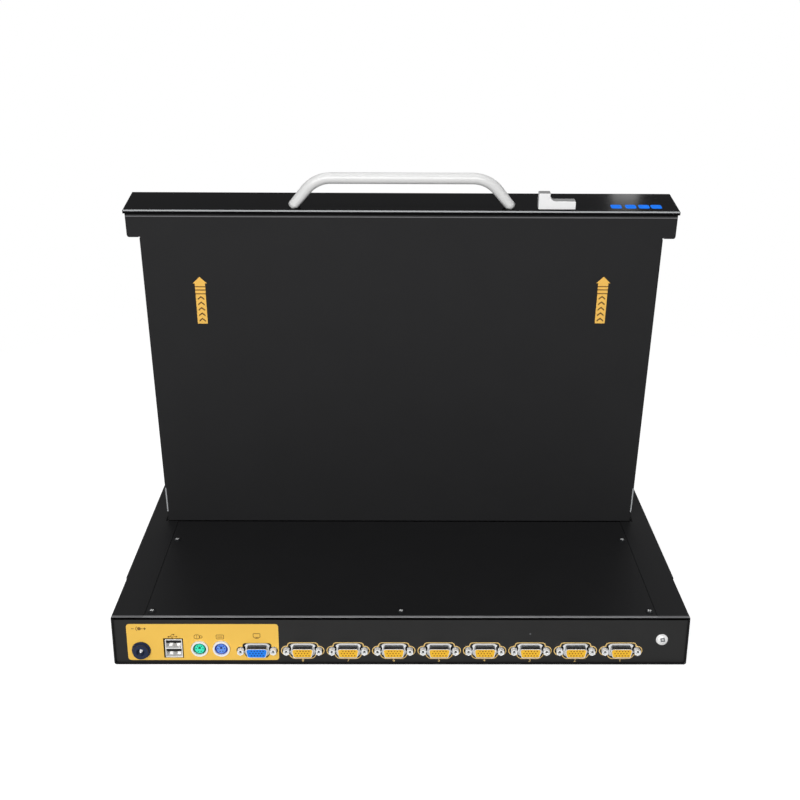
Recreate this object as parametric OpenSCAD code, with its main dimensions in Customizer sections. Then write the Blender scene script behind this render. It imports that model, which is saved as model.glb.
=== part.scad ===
// Rack console drawer, one unit high: a sheet steel chassis with a port panel at its rear, a
// keyboard drawer on three-part ball slides, and a hinged flat screen lid with a pull handle.
// Frame: X to the user's right, -Y towards the user, +Z up. The origin is under the chassis
// centre, on its underside. The lid stands open in the rest position.

/* [Chassis] */
// Width over the side walls
body_w = 440; // [434:1:446]
// Depth from the rear edge to the front edge
body_d = 466; // [460:1:500]
// Height of the chassis
body_h = 42.1; // [41:0.1:43.5]
// Thickness of the chassis sheet
sheet = 1.2; // [1:0.1:1.4]
// Outside radius of the sheet folds
fold_r = 1.8; // [1.6:0.1:2.2]
// Width of the top flanges beside the rear cover
flange_w = 25; // [23:0.5:28]
// Length of the rear cover
cover_len = 162.5; // [150:0.5:170]
// Gap between cover and flanges
seam_gap = 0.4; // [0.3:0.1:0.8]
// Height of the folded lip at the rear of the cover
cover_lip = 2.4; // [2.2:0.1:3]
// Distance of the bulkhead behind the cover's front edge
bulkhead_inset = 3.3; // [3:0.1:6]
// Width of the folds that carry the cover
rest_w = 13; // [11:1:16]

/* [Rack ears] */
// Width of an ear beyond the chassis side
ear_w = 21.3; // [20:0.1:22]
// Distance of the slot centres from the ear's outer edge
slot_edge = 8.75; // [8:0.05:9]
// Distance between the slot centres up the rack
slot_rise = 31.75; // [31:0.05:32]
// Width of a slot
slot_w = 6.8; // [6:0.1:7]
// Length of a slot
slot_len = 10; // [8:0.5:11]
// Distance of the bracket from the chassis edges, top and bottom
bracket_edge = 2.4; // [1.5:0.1:4]
// Distance of the bracket's rear end from the chassis rear
bracket_start = 65; // [40:1:100]
// Distance of the first bracket screw from the bracket's rear end
bracket_first = 15; // [8:1:25]
// Distance of the second bracket screw from the bracket's rear end
bracket_second = 60; // [40:1:75]
// Distance of the front bracket screw from the chassis front
bracket_third = 10; // [7:1:12]

/* [Port panel] */
// Distance between video ports
port_pitch = 34.93; // [34:0.01:35]
// Least distance of the last computer port from the chassis side
port_margin = 40; // [36:1:50]
// Distance between the keyboard socket and the console video port
console_step = 27.3; // [26:0.1:30]
// Height of the video ports above the underside
port_z = 11.4; // [10.8:0.1:12]
// Distance between the jackscrews of a video port
jack_span = 25; // [24.9:0.05:25.1]
// Distance between the mouse socket and the keyboard socket
keyboard_step = 16.6; // [16:0.1:18]
// Distance between the data socket and the mouse socket
mouse_step = 19.7; // [17:0.1:22]
// Distance between the power jack and the data socket
usb_step = 25.1; // [20:0.1:28]
// Distance of the power jack from the chassis side
dc_inset = 21; // [16:0.1:24]
// Distance of the ground screw from the chassis side
ground_inset = 20; // [12:0.5:24]
// Height of the ground screw
ground_z = 21.4; // [20:0.1:28]
// Distance between the sheet floor and the board's underside
board_lift = 2.8; // [2.4:0.1:3]
// Thickness of the circuit boards
board_t = 1.6; // [1.4:0.1:1.8]
// Depth of the switch board
board_d = 96; // [80:1:120]

/* [Slides] */
// Distance of the slides from the chassis rear
slide_rear = 148; // [140:1:160]
// Height of the slides
slide_h = 35; // [34:0.5:36]
// Thickness of a slide
slide_t = 12.7; // [12.5:0.1:13]
// Thickness of the slide members
slide_sheet = 1.2; // [1.1:0.05:1.3]
// Radius of the balls
ball_r = 1.6; // [1.4:0.05:1.65]
// Distance between balls in a cage
ball_pitch = 15; // [12:1:25]
// Distance of the slides from the chassis front
slide_front = 18; // [17:1:24]

/* [Drawer] */
// Clearance between tray and chassis floor
tray_gap = 1; // [0.8:0.1:1.5]
// Height of the tray's low walls above the chassis underside
tray_low_top = 20; // [18:0.5:20.5]
// Height of the keyboard deck's top
deck_z = 20.5; // [19.5:0.1:21]
// Thickness of the deck
deck_t = 2; // [1.6:0.1:2.5]
// Distance of the keys from the deck's sides
key_side = 20.85; // [20:0.05:30]
// Gap between key caps
key_gap = 1.1; // [0.8:0.1:1.6]
// Height of the keys above the deck
key_rise = 3; // [2.6:0.1:3.2]
// Height of a key cap
cap_h = 6.5; // [5.5:0.1:7]
// Travel of a key
key_travel = 2.5; // [2:0.1:2.5]
// Distance of the rear key row from the lid's pivot
keys_back = 47.7; // [42:0.1:56]
// Width of the touch pad
pad_w = 78; // [60:1:100]
// Depth of the touch pad, as a share of the room in front of the keys
pad_depth_share = 0.51; // [0.3:0.01:0.6]

/* [Lid] */
// Thickness of the lid
lid_t = 16; // [15:0.5:17]
// Opening angle at rest, from closed
lid_open = 98.3; // [80:0.1:105]
// Clearance between lid and drawer wall, with the wall, on each side
lid_side_gap = 1.6; // [1.5:0.1:2.2]
// Part of the lid behind the pivot
lid_tail = 6; // [5.5:0.1:6.5]
// Thickness of the lid's sheet
lid_sheet = 1.2; // [1:0.1:1.4]
// Radius of the lid's outer edges
lid_edge_r = 1.6; // [1.5:0.1:2]
// Thickness of the screen frame
frame_t = 2; // [1.8:0.1:2.4]
// How far the lid ears stay inside the bezel's ends
lid_ear_gap = 0.8; // [0.4:0.1:2]
// Length of the lid ears
lid_ear_len = 19.4; // [14:0.1:22]
// Distance of the visible screen from the lid's sides
screen_side = 13.5; // [12.5:0.5:20]
// Distance of the visible screen from the pivot
screen_chin = 42.5; // [38:0.5:50]
// Distance of the visible screen from the lid's front end
screen_head = 35.1; // [30:0.1:40]

/* [Bezel and handle] */
// Distance of the bezel's ends from the chassis sides
bezel_side = 5; // [3:0.5:6]
// Height of the front bezel
bezel_h = 41.3; // [38:0.1:42]
// Thickness of the front bezel
bezel_t = 3.2; // [3:0.1:6]
// How far the bezel stands proud of the lid's back
bezel_proud = 1.7; // [1:0.1:2]
// Gap between the lid's end and the bezel
bezel_gap = 1.1; // [1:0.1:1.6]
// Diameter of the handle bar
handle_d = 8.7; // [7:0.1:10]
// Distance between the handle's feet
handle_span = 169.2; // [150:0.1:180]
// Height of the handle bar's centre above the bezel
handle_rise = 23; // [22:0.1:28]
// Lean of the handle's legs
handle_lean = 38; // [30:1:45]
// Bend radius of the handle
handle_bend = 25; // [18:0.5:27]
// Travel of the latch
latch_travel = 6; // [4:0.5:7]

/* [Hidden] */
$fn = 48;
over = 1;
face_gap = 0.3;
side_signs = [-1, 1];

rear_y = body_d / 2;
front_y = -body_d / 2;
floor_top = sheet;
top_under = body_h - sheet;
wall_in = body_w / 2 - sheet;

// Rack brackets
ear_span = body_w + 2 * ear_w;
slot_span = ear_span - 2 * slot_edge;
bracket_screws_at = [
    bracket_start + bracket_first, bracket_start + bracket_second, body_d - bracket_third
];

// Lid and pivot
lid_tail_r = sqrt(lid_tail * lid_tail + lid_t * lid_t / 4);
swing_gap = 1.8;
pivot_r = cover_len + lid_tail_r + swing_gap;
pivot_y = rear_y - pivot_r;
pivot_z = body_h - lid_t / 2;
drawer_half = wall_in - slide_t;
lid_half = drawer_half - lid_side_gap;
front_gap = 3.1;
lid_len = body_d - pivot_r + front_gap - bezel_gap;
bezel_face = lid_len + bezel_gap + bezel_t;
bezel_w = body_w - 2 * bezel_side;
lid_ear_w = bezel_w / 2 - lid_ear_gap - lid_half;
lid_back = lid_t / 2;
shell_front = frame_t - lid_t / 2;
shell_in = lid_back - lid_sheet;
lid_ear_start = lid_len - lid_ear_len;
lid_ear_r = 3;
lid_relief_r = 0.8;

// Hinges
hinge_notch_w = 7;
hinge_notch_len = 16.5;
hinge_tail_len = 2;
shaft_r = 3;
shaft_clear = 0.05;
hinge_ear_r = 6.3;
hinge_ear_t = 2.4;
hinge_x = lid_half - hinge_notch_w;
hinge_ear_gap = 1.1;
hinge_ear_x = hinge_x + hinge_ear_gap;
hinge_barrel_r = 4.6;
hinge_barrel_len = 14.4;
hinge_wall_gap = 0.4;
hinge_wall_hole_r = 3.4;
hinge_leaf_t = 1.5;
hinge_leaf_w = 44;
hinge_leaf_len = 54;
hinge_washer_r = 5;
hinge_washer_t = 0.8;
hinge_nut_r = 4.4;
hinge_nut_t = 1.6;
hinge_foot_w = 18;
hinge_foot_len = 28;
hinge_foot_t = 2.4;
hinge_slope_z = 12;

// Tray and deck
tray_z = floor_top + tray_gap;
tray_floor = tray_z + sheet;
tray_in = drawer_half - sheet;
tray_rear_gap = 0.8;
tray_rear_r = pivot_r - hinge_ear_r - sheet - tray_rear_gap;
tray_rear_y = rear_y - tray_rear_r;
tray_front_y = front_y;
slide_z = body_h / 2;
tray_wall_edge = 1.4;
deck_side_gap = 0.7;
deck_half = tray_in - deck_side_gap;
deck_rear_y = tray_rear_y - sheet - deck_side_gap;
deck_front_y = tray_front_y + sheet + deck_side_gap;
deck_notch_w = 25;
deck_notch_len = 31;
skirt_t = 2;

// Slide section
race_clear = 0.15;
race_r = ball_r + race_clear;
race_out = race_r + slide_sheet;
race_bite_share = 0.3;
member_gap = 0.4;
outer_ball_v = slide_h / 2 - race_out;
inner_ball_v = outer_ball_v - 2 * race_r - slide_sheet;
race_half = sqrt(race_out * race_out - race_bite_share * race_out * race_bite_share * race_out);
middle_w = slide_sheet + member_gap;
outer_ball_w = middle_w + race_half;
inner_web_w = slide_t - slide_sheet;
inner_ball_w = inner_web_w - member_gap - race_half;
slide_front_y = front_y + slide_front;
slide_len = body_d - slide_front - slide_rear;
slide_rear_y = slide_front_y + slide_len;
cage_t = 0.8;
cage_half = 2.2;
cage_len = slide_len / 2;
tray_wall_top = slide_z + inner_ball_v - race_r + tray_wall_edge;

// Rear panel and sockets
dc_x = body_w / 2 - dc_inset;
usb_x = dc_x - usb_step;
mouse_x = usb_x - mouse_step;
keyboard_x = mouse_x - keyboard_step;
console_port_x = keyboard_x - console_step;
first_port_x = console_port_x - port_pitch;
ports = floor((first_port_x + body_w / 2 - port_margin) / port_pitch) + 1;
ground_x = ground_inset - body_w / 2;
panel_back = fold_r;
panel_y = rear_y - panel_back;
panel_in = panel_y - sheet;
board_z = floor_top + board_lift;
board_top = board_z + board_t;
board_gap = 0.4;
board_rear_y = panel_in - board_gap;
board_edge = 12;
chip_size = 22;
chip_h = 2.4;
chip_count = 6;
cap_part_r = 4;
cap_part_h = 11;
cap_part_pitch = 14;
cap_part_count = 4;
post_r = 2.6;
post_edge = 6;
post_rows = 4;

dshell_w = 16.2;
dshell_h = 7.8;
dshell_r = 1.9;
dshell_t = 0.5;
dshell_lean = 10;
dshell_len = 6;
dshell_lip = 0.3;
dsub_clear = 2.2;
dflange_w = 31;
dflange_t = 0.8;
dblock_d = 11;
arc_steps = 5;
jack_af = 4.6;
jack_len = 4.8;
jack_hole_r = 1.4;
jack_hole_len = 4.4;
jack_cut_r = 3.7;

usb_w = 13.1;
usb_h = 15.6;
usb_d = 17;
usb_out = 0.8;
usb_wall = 0.6;
usb_cut_gap = 0.7;
tongue_w = 11.1;
tongue_t = 1.9;
tongue_len = 9;
tongue_drop = 0.7;
usb_z = board_top + usb_h / 2;

din_body_w = 14;
din_body_d = 12;
din_ring_r = 6.5;
din_ring_in = 5.1;
din_ring_out = 1.6;
din_cut_gap = 0.2;
din_face_in = 0.7;
din_core_r = 3.7;
din_groove = 1.4;
din_key_w = 1.8;
din_key_h = 1.3;
din_key_z = 2.2;
din_half = 7.6;
din_z = board_top + din_half;

dc_ring_r = 7.15;
dc_ring_t = 1;
dc_barrel_r = 5.9;
dc_out = 4;
dc_bore_r = 3.1;
dc_bore_len = 10;
dc_pin_r = 1;
dc_pin_in = 1;
dc_neck_gap = 0.2;
dc_body_d = 12;
dc_half = 6;
dc_z = board_top + dc_half;

// Screws
screw_r = 1.5;
screw_clear = 0.2;
cover_head_r = 3;
cover_head_h = 1.2;
cover_shank = 4;
cover_screw_in = 5;
cover_screw_r = 7.4;
cover_side_r = 126.5;
cover_tab = 16;
cover_tab_in = 11;
ground_head_r = 4;
ground_head_h = 2.6;
ground_shank = 6;
ground_washer_r = 4.5;
ground_washer_t = 0.6;
csk_r = 3.4;
csk_shank_r = 1.9;
csk_len = 3.8;
bezel_head_r = 2.8;
bezel_head_h = 2;
cross_share = 0.28;
cross_depth_share = 0.5;

// Flange changes
lid_slot_gap = 1.5;
lid_slot_r = 164.2;
lid_bay_gap = 9.3;
relief_w = 2;
relief_len = 3;

// Bulkhead
bulkhead_side_gap = 2;
bulkhead_foot = 12;
harness_w = 40;
harness_h = 10;
harness_z = 22;

// Keys, with widths in key spacings
row_gap = 4;
block_gap_share = 0.25;
main_block_shares = 15;
pad_block_shares = 4;
key_top_share = 0.8;
stem_w = 5;
stem_clear = 0.25;
plate_top = 12;
plate_t = 2;
plate_edge = 4;
plate_wall = 1.2;
membrane_t = 1.2;
stem_end = tray_floor + membrane_t + key_travel + face_gap;
key_hole_gap = 0.6;
function_starts_share = [0, 2, 3, 4, 5, 6.5, 7.5, 8.5, 9.5, 11, 12, 13, 14];
function_groups_share = [[0, 1], [2, 4], [6.5, 4], [11, 4]];
number_widths_share = [1, 1, 1, 1, 1, 1, 1, 1, 1, 1, 1, 1, 1, 2];
upper_widths_share = [1.5, 1, 1, 1, 1, 1, 1, 1, 1, 1, 1, 1, 1, 1.5];
home_widths_share = [1.75, 1, 1, 1, 1, 1, 1, 1, 1, 1, 1, 1, 2.25];
lower_widths_share = [2.25, 1, 1, 1, 1, 1, 1, 1, 1, 1, 1, 2.75];
left_mods_share = [1.25, 1.25, 1.25];
right_mods_share = [1.25, 1.25, 1.25, 1.25];
space_width_share = 6.25;
pad_rows_share = [[1, 1, 1, 1], [1, 1, 1], [1, 1, 1, 1], [1, 1, 1], [2, 1, 1]];
block_w = 2 * (deck_half - key_side);
key_pitch = block_w / (main_block_shares + block_gap_share + pad_block_shares);
keys_left = -block_w / 2;
keys_start = pivot_r + keys_back;
pad_left_share = main_block_shares + block_gap_share;

// Touch pad and small buttons
pad_gap = 12;
pad_t = 0.8;
pad_drop = 0.4;
pad_clear = 0.4;
pad_ledge = 2;
button_d = 12;
button_rise = 0.4;
button_travel = 0.8;
button_split = 0.8;
button_clear = 0.3;
button_h = 5;
button_lip = 1.2;
button_lip_t = 0.8;
button_bridge = 2.4;
button_post_w = 4;
button_base_gap = 1.1;
port_button_w = 16;
port_button_d = 7;
port_button_in = 54;
port_button_x = deck_half - port_button_in;
port_button_gap = 24;
port_button_back = 16;
port_button_r = keys_start - port_button_back;

// Screen and boards in the lid
screen_w = 2 * (lid_half - screen_side);
screen_h = lid_len - screen_chin - screen_head;
screen_at = screen_chin + screen_h / 2;
window_gap = 0.3;
panel_margin_w = 8;
panel_margin_h = 8.5;
panel_t = 5.8;
driver_w = 120;
driver_d = 70;
driver_at = 75;
driver_z = 2.4;
driver_post_r = 3;
driver_post_edge = 6;
driver_chip = 18;
driver_chip_h = 1.6;
key_board_w = 62;
key_board_d = 12;
key_board_z = -3.6;
osd_at = 22;
osd_side = 92.5;
osd_x = lid_half - osd_side;
osd_pitch = 13;
osd_w = 9;
osd_d = 4;
osd_out = 0.8;
osd_in = 1.4;
osd_lip = 1;
osd_lip_t = 0.6;

// Bezel details
bezel_edge_r = 1;
boss_r = 5;
bezel_screw_in = 25;
bezel_screw_x = bezel_w / 2 - bezel_screw_in;
handle_z = 1.5;
handle_screw_bite = 4;
collar_t = 0.4;
collar_step = 0.02;
collar_in = 0.1;
collar_turn = 0.3;
latch_step = 35.1;
latch_x = -handle_span / 2 - latch_step;
latch_len = 28.8;
latch_tab = 8.9;
latch_tab_h = 13.2;
latch_bar_h = 7;
latch_z0 = 0.6;
latch_z1 = 7.4;
latch_blend_r = 4;
latch_nip = 1.2;
latch_stem_w = 8;
latch_stem_z = 2.6;
latch_stem_at = 4;
latch_clear = 0.3;
latch_plate_t = 1.5;
latch_plate_w = 14;
latch_plate_h = 7;

// Helpers

// A flat shape in X and Z, pulled along Y from y0 to y1
module sweep_y(y0, y1) {
    translate([0, y1, 0]) rotate([90, 0, 0]) linear_extrude(y1 - y0) children();
}

// A flat shape in Y and Z, pulled along X from x0 to x1
module sweep_x(x0, x1) {
    translate([x0, 0, 0]) rotate([90, 0, 90]) linear_extrude(x1 - x0) children();
}

// A block between two corners
module block(low, high) {
    translate(low) cube(high - low);
}

// A rod along X, from x0 to x1, centred at y and z
module rod_x(x0, x1, y, z, r) {
    translate([min(x0, x1), y, z]) rotate([0, 90, 0]) cylinder(h = abs(x1 - x0), r = r);
}

// A rod along Y, from y0 to y1, centred at x and z
module rod_y(y0, y1, x, z, r) {
    translate([x, max(y0, y1), z]) rotate([90, 0, 0]) cylinder(h = abs(y1 - y0), r = r);
}

// A rectangle centred on X with four round corners
module round_box_2d(w, z0, z1, r) {
    translate([r - w / 2, z0]) square([w - 2 * r, z1 - z0]);
    translate([-w / 2, z0 + r]) square([w, z1 - z0 - 2 * r]);
    for (s = side_signs, z = [z0 + r, z1 - r]) translate([s * (w / 2 - r), z]) circle(r);
}

// A rectangle with its two upper corners round
module arch_2d(w0, w1, z0, z1, r) {
    translate([w0, z0]) square([w1 - w0, z1 - z0 - r]);
    translate([w0 + r, z0]) square([w1 - w0 - 2 * r, z1 - z0]);
    translate([w0 + r, z1 - r]) circle(r);
    translate([w1 - r, z1 - r]) circle(r);
}

// A block whose four upper edges are round
module pillow(low, high, r) {
    intersection() {
        sweep_y(low[1], high[1]) arch_2d(low[0], high[0], low[2], high[2], r);
        sweep_x(low[0], high[0]) arch_2d(low[1], high[1], low[2], high[2], r);
    }
}

// A screw head with a domed top and a cross recess, standing on z = 0
module pan_head(r, h) {
    rise = h / 2;
    dome = (r * r + rise * rise) / (2 * rise);
    slit = r * cross_share;
    difference() {
        intersection() {
            cylinder(h = h, r = r);
            translate([0, 0, h - dome]) sphere(dome);
        }
        for (turn = [0, 90]) rotate([0, 0, turn])
            translate([-r / 2, -slit / 2, h * (1 - cross_depth_share)]) cube([r, slit, h]);
    }
}

// The point of the chassis that lies this far from its rear edge
function at(distance) = rear_y - distance;

// Places the lid's own frame, in which it lies closed along -Y with its pivot at the origin
module in_lid() {
    translate([0, pivot_y, pivot_z]) rotate([-lid_open, 0, 0]) children();
}

// Chassis

function cover_places() = [
    for (s = side_signs) [s * (body_w / 2 - flange_w - cover_screw_in), at(cover_screw_r)],
    [0, at(cover_screw_r)],
    for (s = side_signs) [s * (body_w / 2 - flange_w - cover_screw_in), at(cover_side_r)]
];
cover_half = body_w / 2 - flange_w - seam_gap;
lid_slot_half = lid_half + lid_slot_gap;
lid_bay_y = pivot_y - lid_ear_start + lid_bay_gap;

module chassis_pan() color("#202124") {
    difference() {
        union() {
            sweep_y(front_y, rear_y) difference() {
                round_box_2d(body_w, 0, body_h, fold_r);
                round_box_2d(body_w - 2 * sheet, sheet, top_under, fold_r - sheet);
            }
            for (s = side_signs) translate([s * (cover_half - cover_tab_in / 2), 0, 0])
                block([-cover_tab / 2, at(cover_side_r) - cover_tab / 2, top_under - sheet],
                      [cover_tab / 2, at(cover_side_r) + cover_tab / 2, top_under]);
        }
        // Opening for the rear cover
        block([-body_w / 2 + flange_w, at(lid_slot_r), top_under],
              [body_w / 2 - flange_w, rear_y + over, body_h + over]);
        // Relief notches at the ends of the cover's rear lip
        for (s = side_signs) translate([s * (body_w / 2 - flange_w), at(relief_len), 0])
            block([-relief_w / 2, 0, top_under], [relief_w / 2, relief_len + over, body_h + over]);
        // Opening for the lid
        block([-lid_slot_half, lid_bay_y, top_under],
              [lid_slot_half, at(lid_slot_r) + over, body_h + over]);
        // Cut-away for the lid ears
        block([fold_r - body_w / 2, front_y - over, top_under],
              [body_w / 2 - fold_r, lid_bay_y + over, body_h + over]);
        for (p = cover_places()) translate([p[0], p[1], 0])
            translate([0, 0, top_under - 2 * sheet]) cylinder(h = 2 * sheet + over, r = screw_r);
        for (s = side_signs, r = bracket_screws_at)
            rod_x(s * (wall_in - over), s * (body_w / 2 + over), at(r), slide_z, csk_shank_r);
    }
}

module top_cover() color("#1e1f22") {
    difference() {
        union() {
            block([-cover_half, at(cover_len), top_under], [cover_half, at(fold_r), body_h]);
            block([-cover_half, at(sheet), body_h - cover_lip],
                  [cover_half, rear_y, body_h - fold_r]);
            sweep_x(-cover_half, cover_half) intersection() {
                translate([at(fold_r), body_h - fold_r]) square(fold_r);
                difference() {
                    translate([at(fold_r), body_h - fold_r]) circle(fold_r);
                    translate([at(fold_r), body_h - fold_r]) circle(fold_r - sheet);
                }
            }
        }
        for (p = cover_places()) translate([p[0], p[1], top_under - over])
            cylinder(h = sheet + 2 * over, r = screw_r + screw_clear);
    }
}

module cover_screws() color("#55575c") {
    for (p = cover_places()) translate([p[0], p[1], body_h]) {
        pan_head(cover_head_r, cover_head_h);
        translate([0, 0, -cover_shank]) cylinder(h = cover_shank, r = screw_r);
    }
}

// Outline of a D shaped shell as points: wide at the top, both sides leaning in, round corners
function d_corner(x, z, r, from, turn) = [
    for (i = [0:arc_steps])
        let (a = from + turn * i / arc_steps) [x + r * cos(a), z + r * sin(a)]
];
function d_outline(w, h, r) = let (
    step = (h - 2 * r) * tan(dshell_lean),
    top_x = w / 2 - r,
    low_x = top_x - step,
    z = h / 2 - r
) concat(
    d_corner(top_x, z, r, -dshell_lean, 90 + dshell_lean),
    d_corner(-top_x, z, r, 90, 90 + dshell_lean),
    d_corner(-low_x, -z, r, 180 + dshell_lean, 90 - dshell_lean),
    d_corner(low_x, -z, r, 270, 90 - dshell_lean)
);
module d_shape(grow) {
    polygon(d_outline(dshell_w + 2 * grow, dshell_h + 2 * grow, dshell_r + grow));
}
function port_places() = [for (k = [0:ports - 1]) first_port_x - k * port_pitch];
function all_port_places() = concat([console_port_x], port_places());

module rear_panel() color("#232428") {
    flange_half = cover_half - relief_w;
    difference() {
        union() {
            sweep_y(panel_in, panel_y) round_box_2d(2 * wall_in, floor_top, top_under, fold_r);
            block([-flange_half, panel_y - rest_w, top_under - sheet],
                  [flange_half, panel_y, top_under]);
        }
        for (p = cover_places()) translate([p[0], p[1], top_under - 2 * sheet])
            cylinder(h = 2 * sheet + over, r = screw_r);
        for (x = all_port_places()) {
            sweep_y(panel_in - over, panel_y + over) translate([x, port_z]) d_shape(dsub_clear);
            for (s = side_signs)
                rod_y(panel_in - over, panel_y + over, x + s * jack_span / 2, port_z, jack_cut_r);
        }
        for (x = [mouse_x, keyboard_x])
            rod_y(panel_in - over, panel_y + over, x, din_z, din_ring_r + din_cut_gap);
        rod_y(panel_in - over, panel_y + over, dc_x, dc_z, dc_barrel_r + dc_neck_gap);
        block([usb_x - usb_w / 2 - usb_cut_gap, panel_in - over, usb_z - usb_h / 2],
              [usb_x + usb_w / 2 + usb_cut_gap, panel_y + over, usb_z + usb_h / 2 + usb_cut_gap]);
        rod_y(panel_in - over, panel_y + over, ground_x, ground_z, csk_shank_r);
    }
}

module ground_screw() color("#e8e8e8") {
    translate([ground_x, panel_y, ground_z]) rotate([-90, 0, 0]) {
        cylinder(h = ground_washer_t, r = ground_washer_r);
        translate([0, 0, ground_washer_t]) pan_head(ground_head_r, ground_head_h);
        translate([0, 0, -ground_shank]) cylinder(h = ground_shank, r = csk_shank_r);
    }
}

// A rack bracket: side plate and front ear, for the side s
module rack_bracket(s) color("#202124") {
    inner = s * body_w / 2;
    outer = s * (body_w / 2 + sheet);
    tip = s * ear_span / 2;
    difference() {
        union() {
            block([min(inner, outer), front_y, bracket_edge],
                  [max(inner, outer), at(bracket_start), body_h - bracket_edge]);
            block([min(inner, tip), front_y, 0], [max(inner, tip), front_y + sheet, body_h]);
        }
        for (v = side_signs) translate([s * slot_span / 2, 0, body_h / 2 + v * slot_rise / 2]) {
            for (e = side_signs)
                rod_y(front_y - over, front_y + sheet + over, e * (slot_len - slot_w) / 2, 0,
                      slot_w / 2);
            block([(slot_w - slot_len) / 2, front_y - over, -slot_w / 2],
                  [(slot_len - slot_w) / 2, front_y + sheet + over, slot_w / 2]);
        }
        for (r = bracket_screws_at) countersink(s, at(r));
    }
}
// The cone and shank of a flush screw in a bracket
module countersink(s, y) {
    translate([s * (body_w / 2 + sheet), y, slide_z]) rotate([0, -s * 90, 0]) {
        cylinder(h = sheet, r1 = csk_r, r2 = csk_shank_r);
        cylinder(h = csk_len, r = csk_shank_r);
    }
}
module rack_bracket_left() { rack_bracket(-1); }
module rack_bracket_right() { rack_bracket(1); }
module bracket_screws() color("#3a3b3f") {
    for (s = side_signs, r = bracket_screws_at) countersink(s, at(r));
}

module bulkhead() color("#2a2b2f") {
    half = drawer_half - bulkhead_side_gap;
    front = at(cover_len - bulkhead_inset);
    difference() {
        union() {
            block([-half, front, floor_top], [half, front + sheet, top_under]);
            block([-half, front, top_under - sheet], [half, front + bulkhead_foot, top_under]);
            block([-half, front, floor_top], [half, front + bulkhead_foot, floor_top + sheet]);
        }
        block([-harness_w / 2, front - over, harness_z],
              [harness_w / 2, front + sheet + over, harness_z + harness_h]);
    }
}

// Ports and boards

module switch_board() color("#1f5b36") {
    left = port_places()[ports - 1] - dflange_w / 2;
    right = dc_x + board_edge / 2;
    rear = board_rear_y;
    chip_pitch = (right - left - 2 * board_edge - chip_size) / (chip_count - 1);
    block([left, rear - board_d, board_z], [right, rear, board_top]);
    for (k = [0:chip_count - 1])
        translate([left + board_edge + chip_size + k * chip_pitch, rear - board_d / 2, board_top])
            block([-chip_size / 2, -chip_size, 0], [chip_size / 2, 0, chip_h]);
    for (k = [0:cap_part_count - 1])
        translate([right - board_edge - k * cap_part_pitch, rear - board_d + board_edge, board_top])
            cylinder(h = cap_part_h, r = cap_part_r);
}

module board_standoffs() color("#b9a46a") {
    left = port_places()[ports - 1] - dflange_w / 2 + post_edge;
    right = dc_x + board_edge / 2 - post_edge;
    for (k = [0:post_rows - 1], y = [board_rear_y - board_d + post_edge, board_rear_y - board_d / 2])
        translate([left + (right - left) * k / (post_rows - 1), y, floor_top])
            cylinder(h = board_lift, r = post_r, $fn = 6);
}

module vga_shells() color("#d8dadc") {
    for (x = all_port_places()) {
        difference() {
            union() {
                block([x - dflange_w / 2, panel_in - dflange_t, board_top],
                      [x + dflange_w / 2, panel_in, 2 * port_z - board_top]);
                sweep_y(panel_in - dflange_t, panel_in + dshell_len)
                    translate([x, port_z]) d_shape(0);
            }
            sweep_y(panel_in - dflange_t - over, panel_in + dshell_len + over)
                translate([x, port_z]) d_shape(-dshell_t);
        }
    }
}

module vga_insert(x) {
    sweep_y(panel_in - dflange_t, panel_in + dshell_len - dshell_lip)
        translate([x, port_z]) d_shape(-dshell_t);
    block([x - dflange_w / 2, panel_in - dflange_t - dblock_d, board_top],
          [x + dflange_w / 2, panel_in - dflange_t, 2 * port_z - board_top]);
}
module console_vga_insert() color("#2a7fe8") vga_insert(console_port_x);
module port_vga_inserts() color("#f2a922") for (x = port_places()) vga_insert(x);

module jackscrews() color("#e2e4e6") {
    for (x = all_port_places(), s = side_signs) difference() {
        translate([x + s * jack_span / 2, panel_in + jack_len, port_z]) rotate([90, 30, 0])
            cylinder(h = jack_len, d = jack_af / cos(30), $fn = 6);
        rod_y(panel_in + jack_len - jack_hole_len, panel_in + jack_len + over,
              x + s * jack_span / 2, port_z, jack_hole_r);
    }
}

module usb_shell() color("#dfe1e3") {
    front = panel_y + usb_out;
    low = usb_z - usb_h / 2;
    cell = (usb_h - 3 * usb_wall) / 2;
    difference() {
        block([usb_x - usb_w / 2, front - usb_d, low], [usb_x + usb_w / 2, front, low + usb_h]);
        for (k = [0, 1])
            block([usb_x - usb_w / 2 + usb_wall, front - usb_d + usb_wall,
                   low + usb_wall + k * (cell + usb_wall)],
                  [usb_x + usb_w / 2 - usb_wall, front + over,
                   low + usb_wall + k * (cell + usb_wall) + cell]);
    }
}
module usb_tongues() color("#f4f4f2") {
    back = panel_y + usb_out - usb_d + usb_wall;
    low = usb_z - usb_h / 2;
    cell = (usb_h - 3 * usb_wall) / 2;
    for (k = [0, 1]) {
        top = low + (k + 1) * (cell + usb_wall);
        block([usb_x - tongue_w / 2, back, top - tongue_drop - tongue_t],
              [usb_x + tongue_w / 2, back + usb_d - usb_wall - tongue_drop, top - tongue_drop]);
        block([usb_x - tongue_w / 2, back, low + usb_wall + k * (cell + usb_wall)],
              [usb_x + tongue_w / 2, back + usb_d - tongue_len - usb_wall, top]);
    }
}

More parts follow.
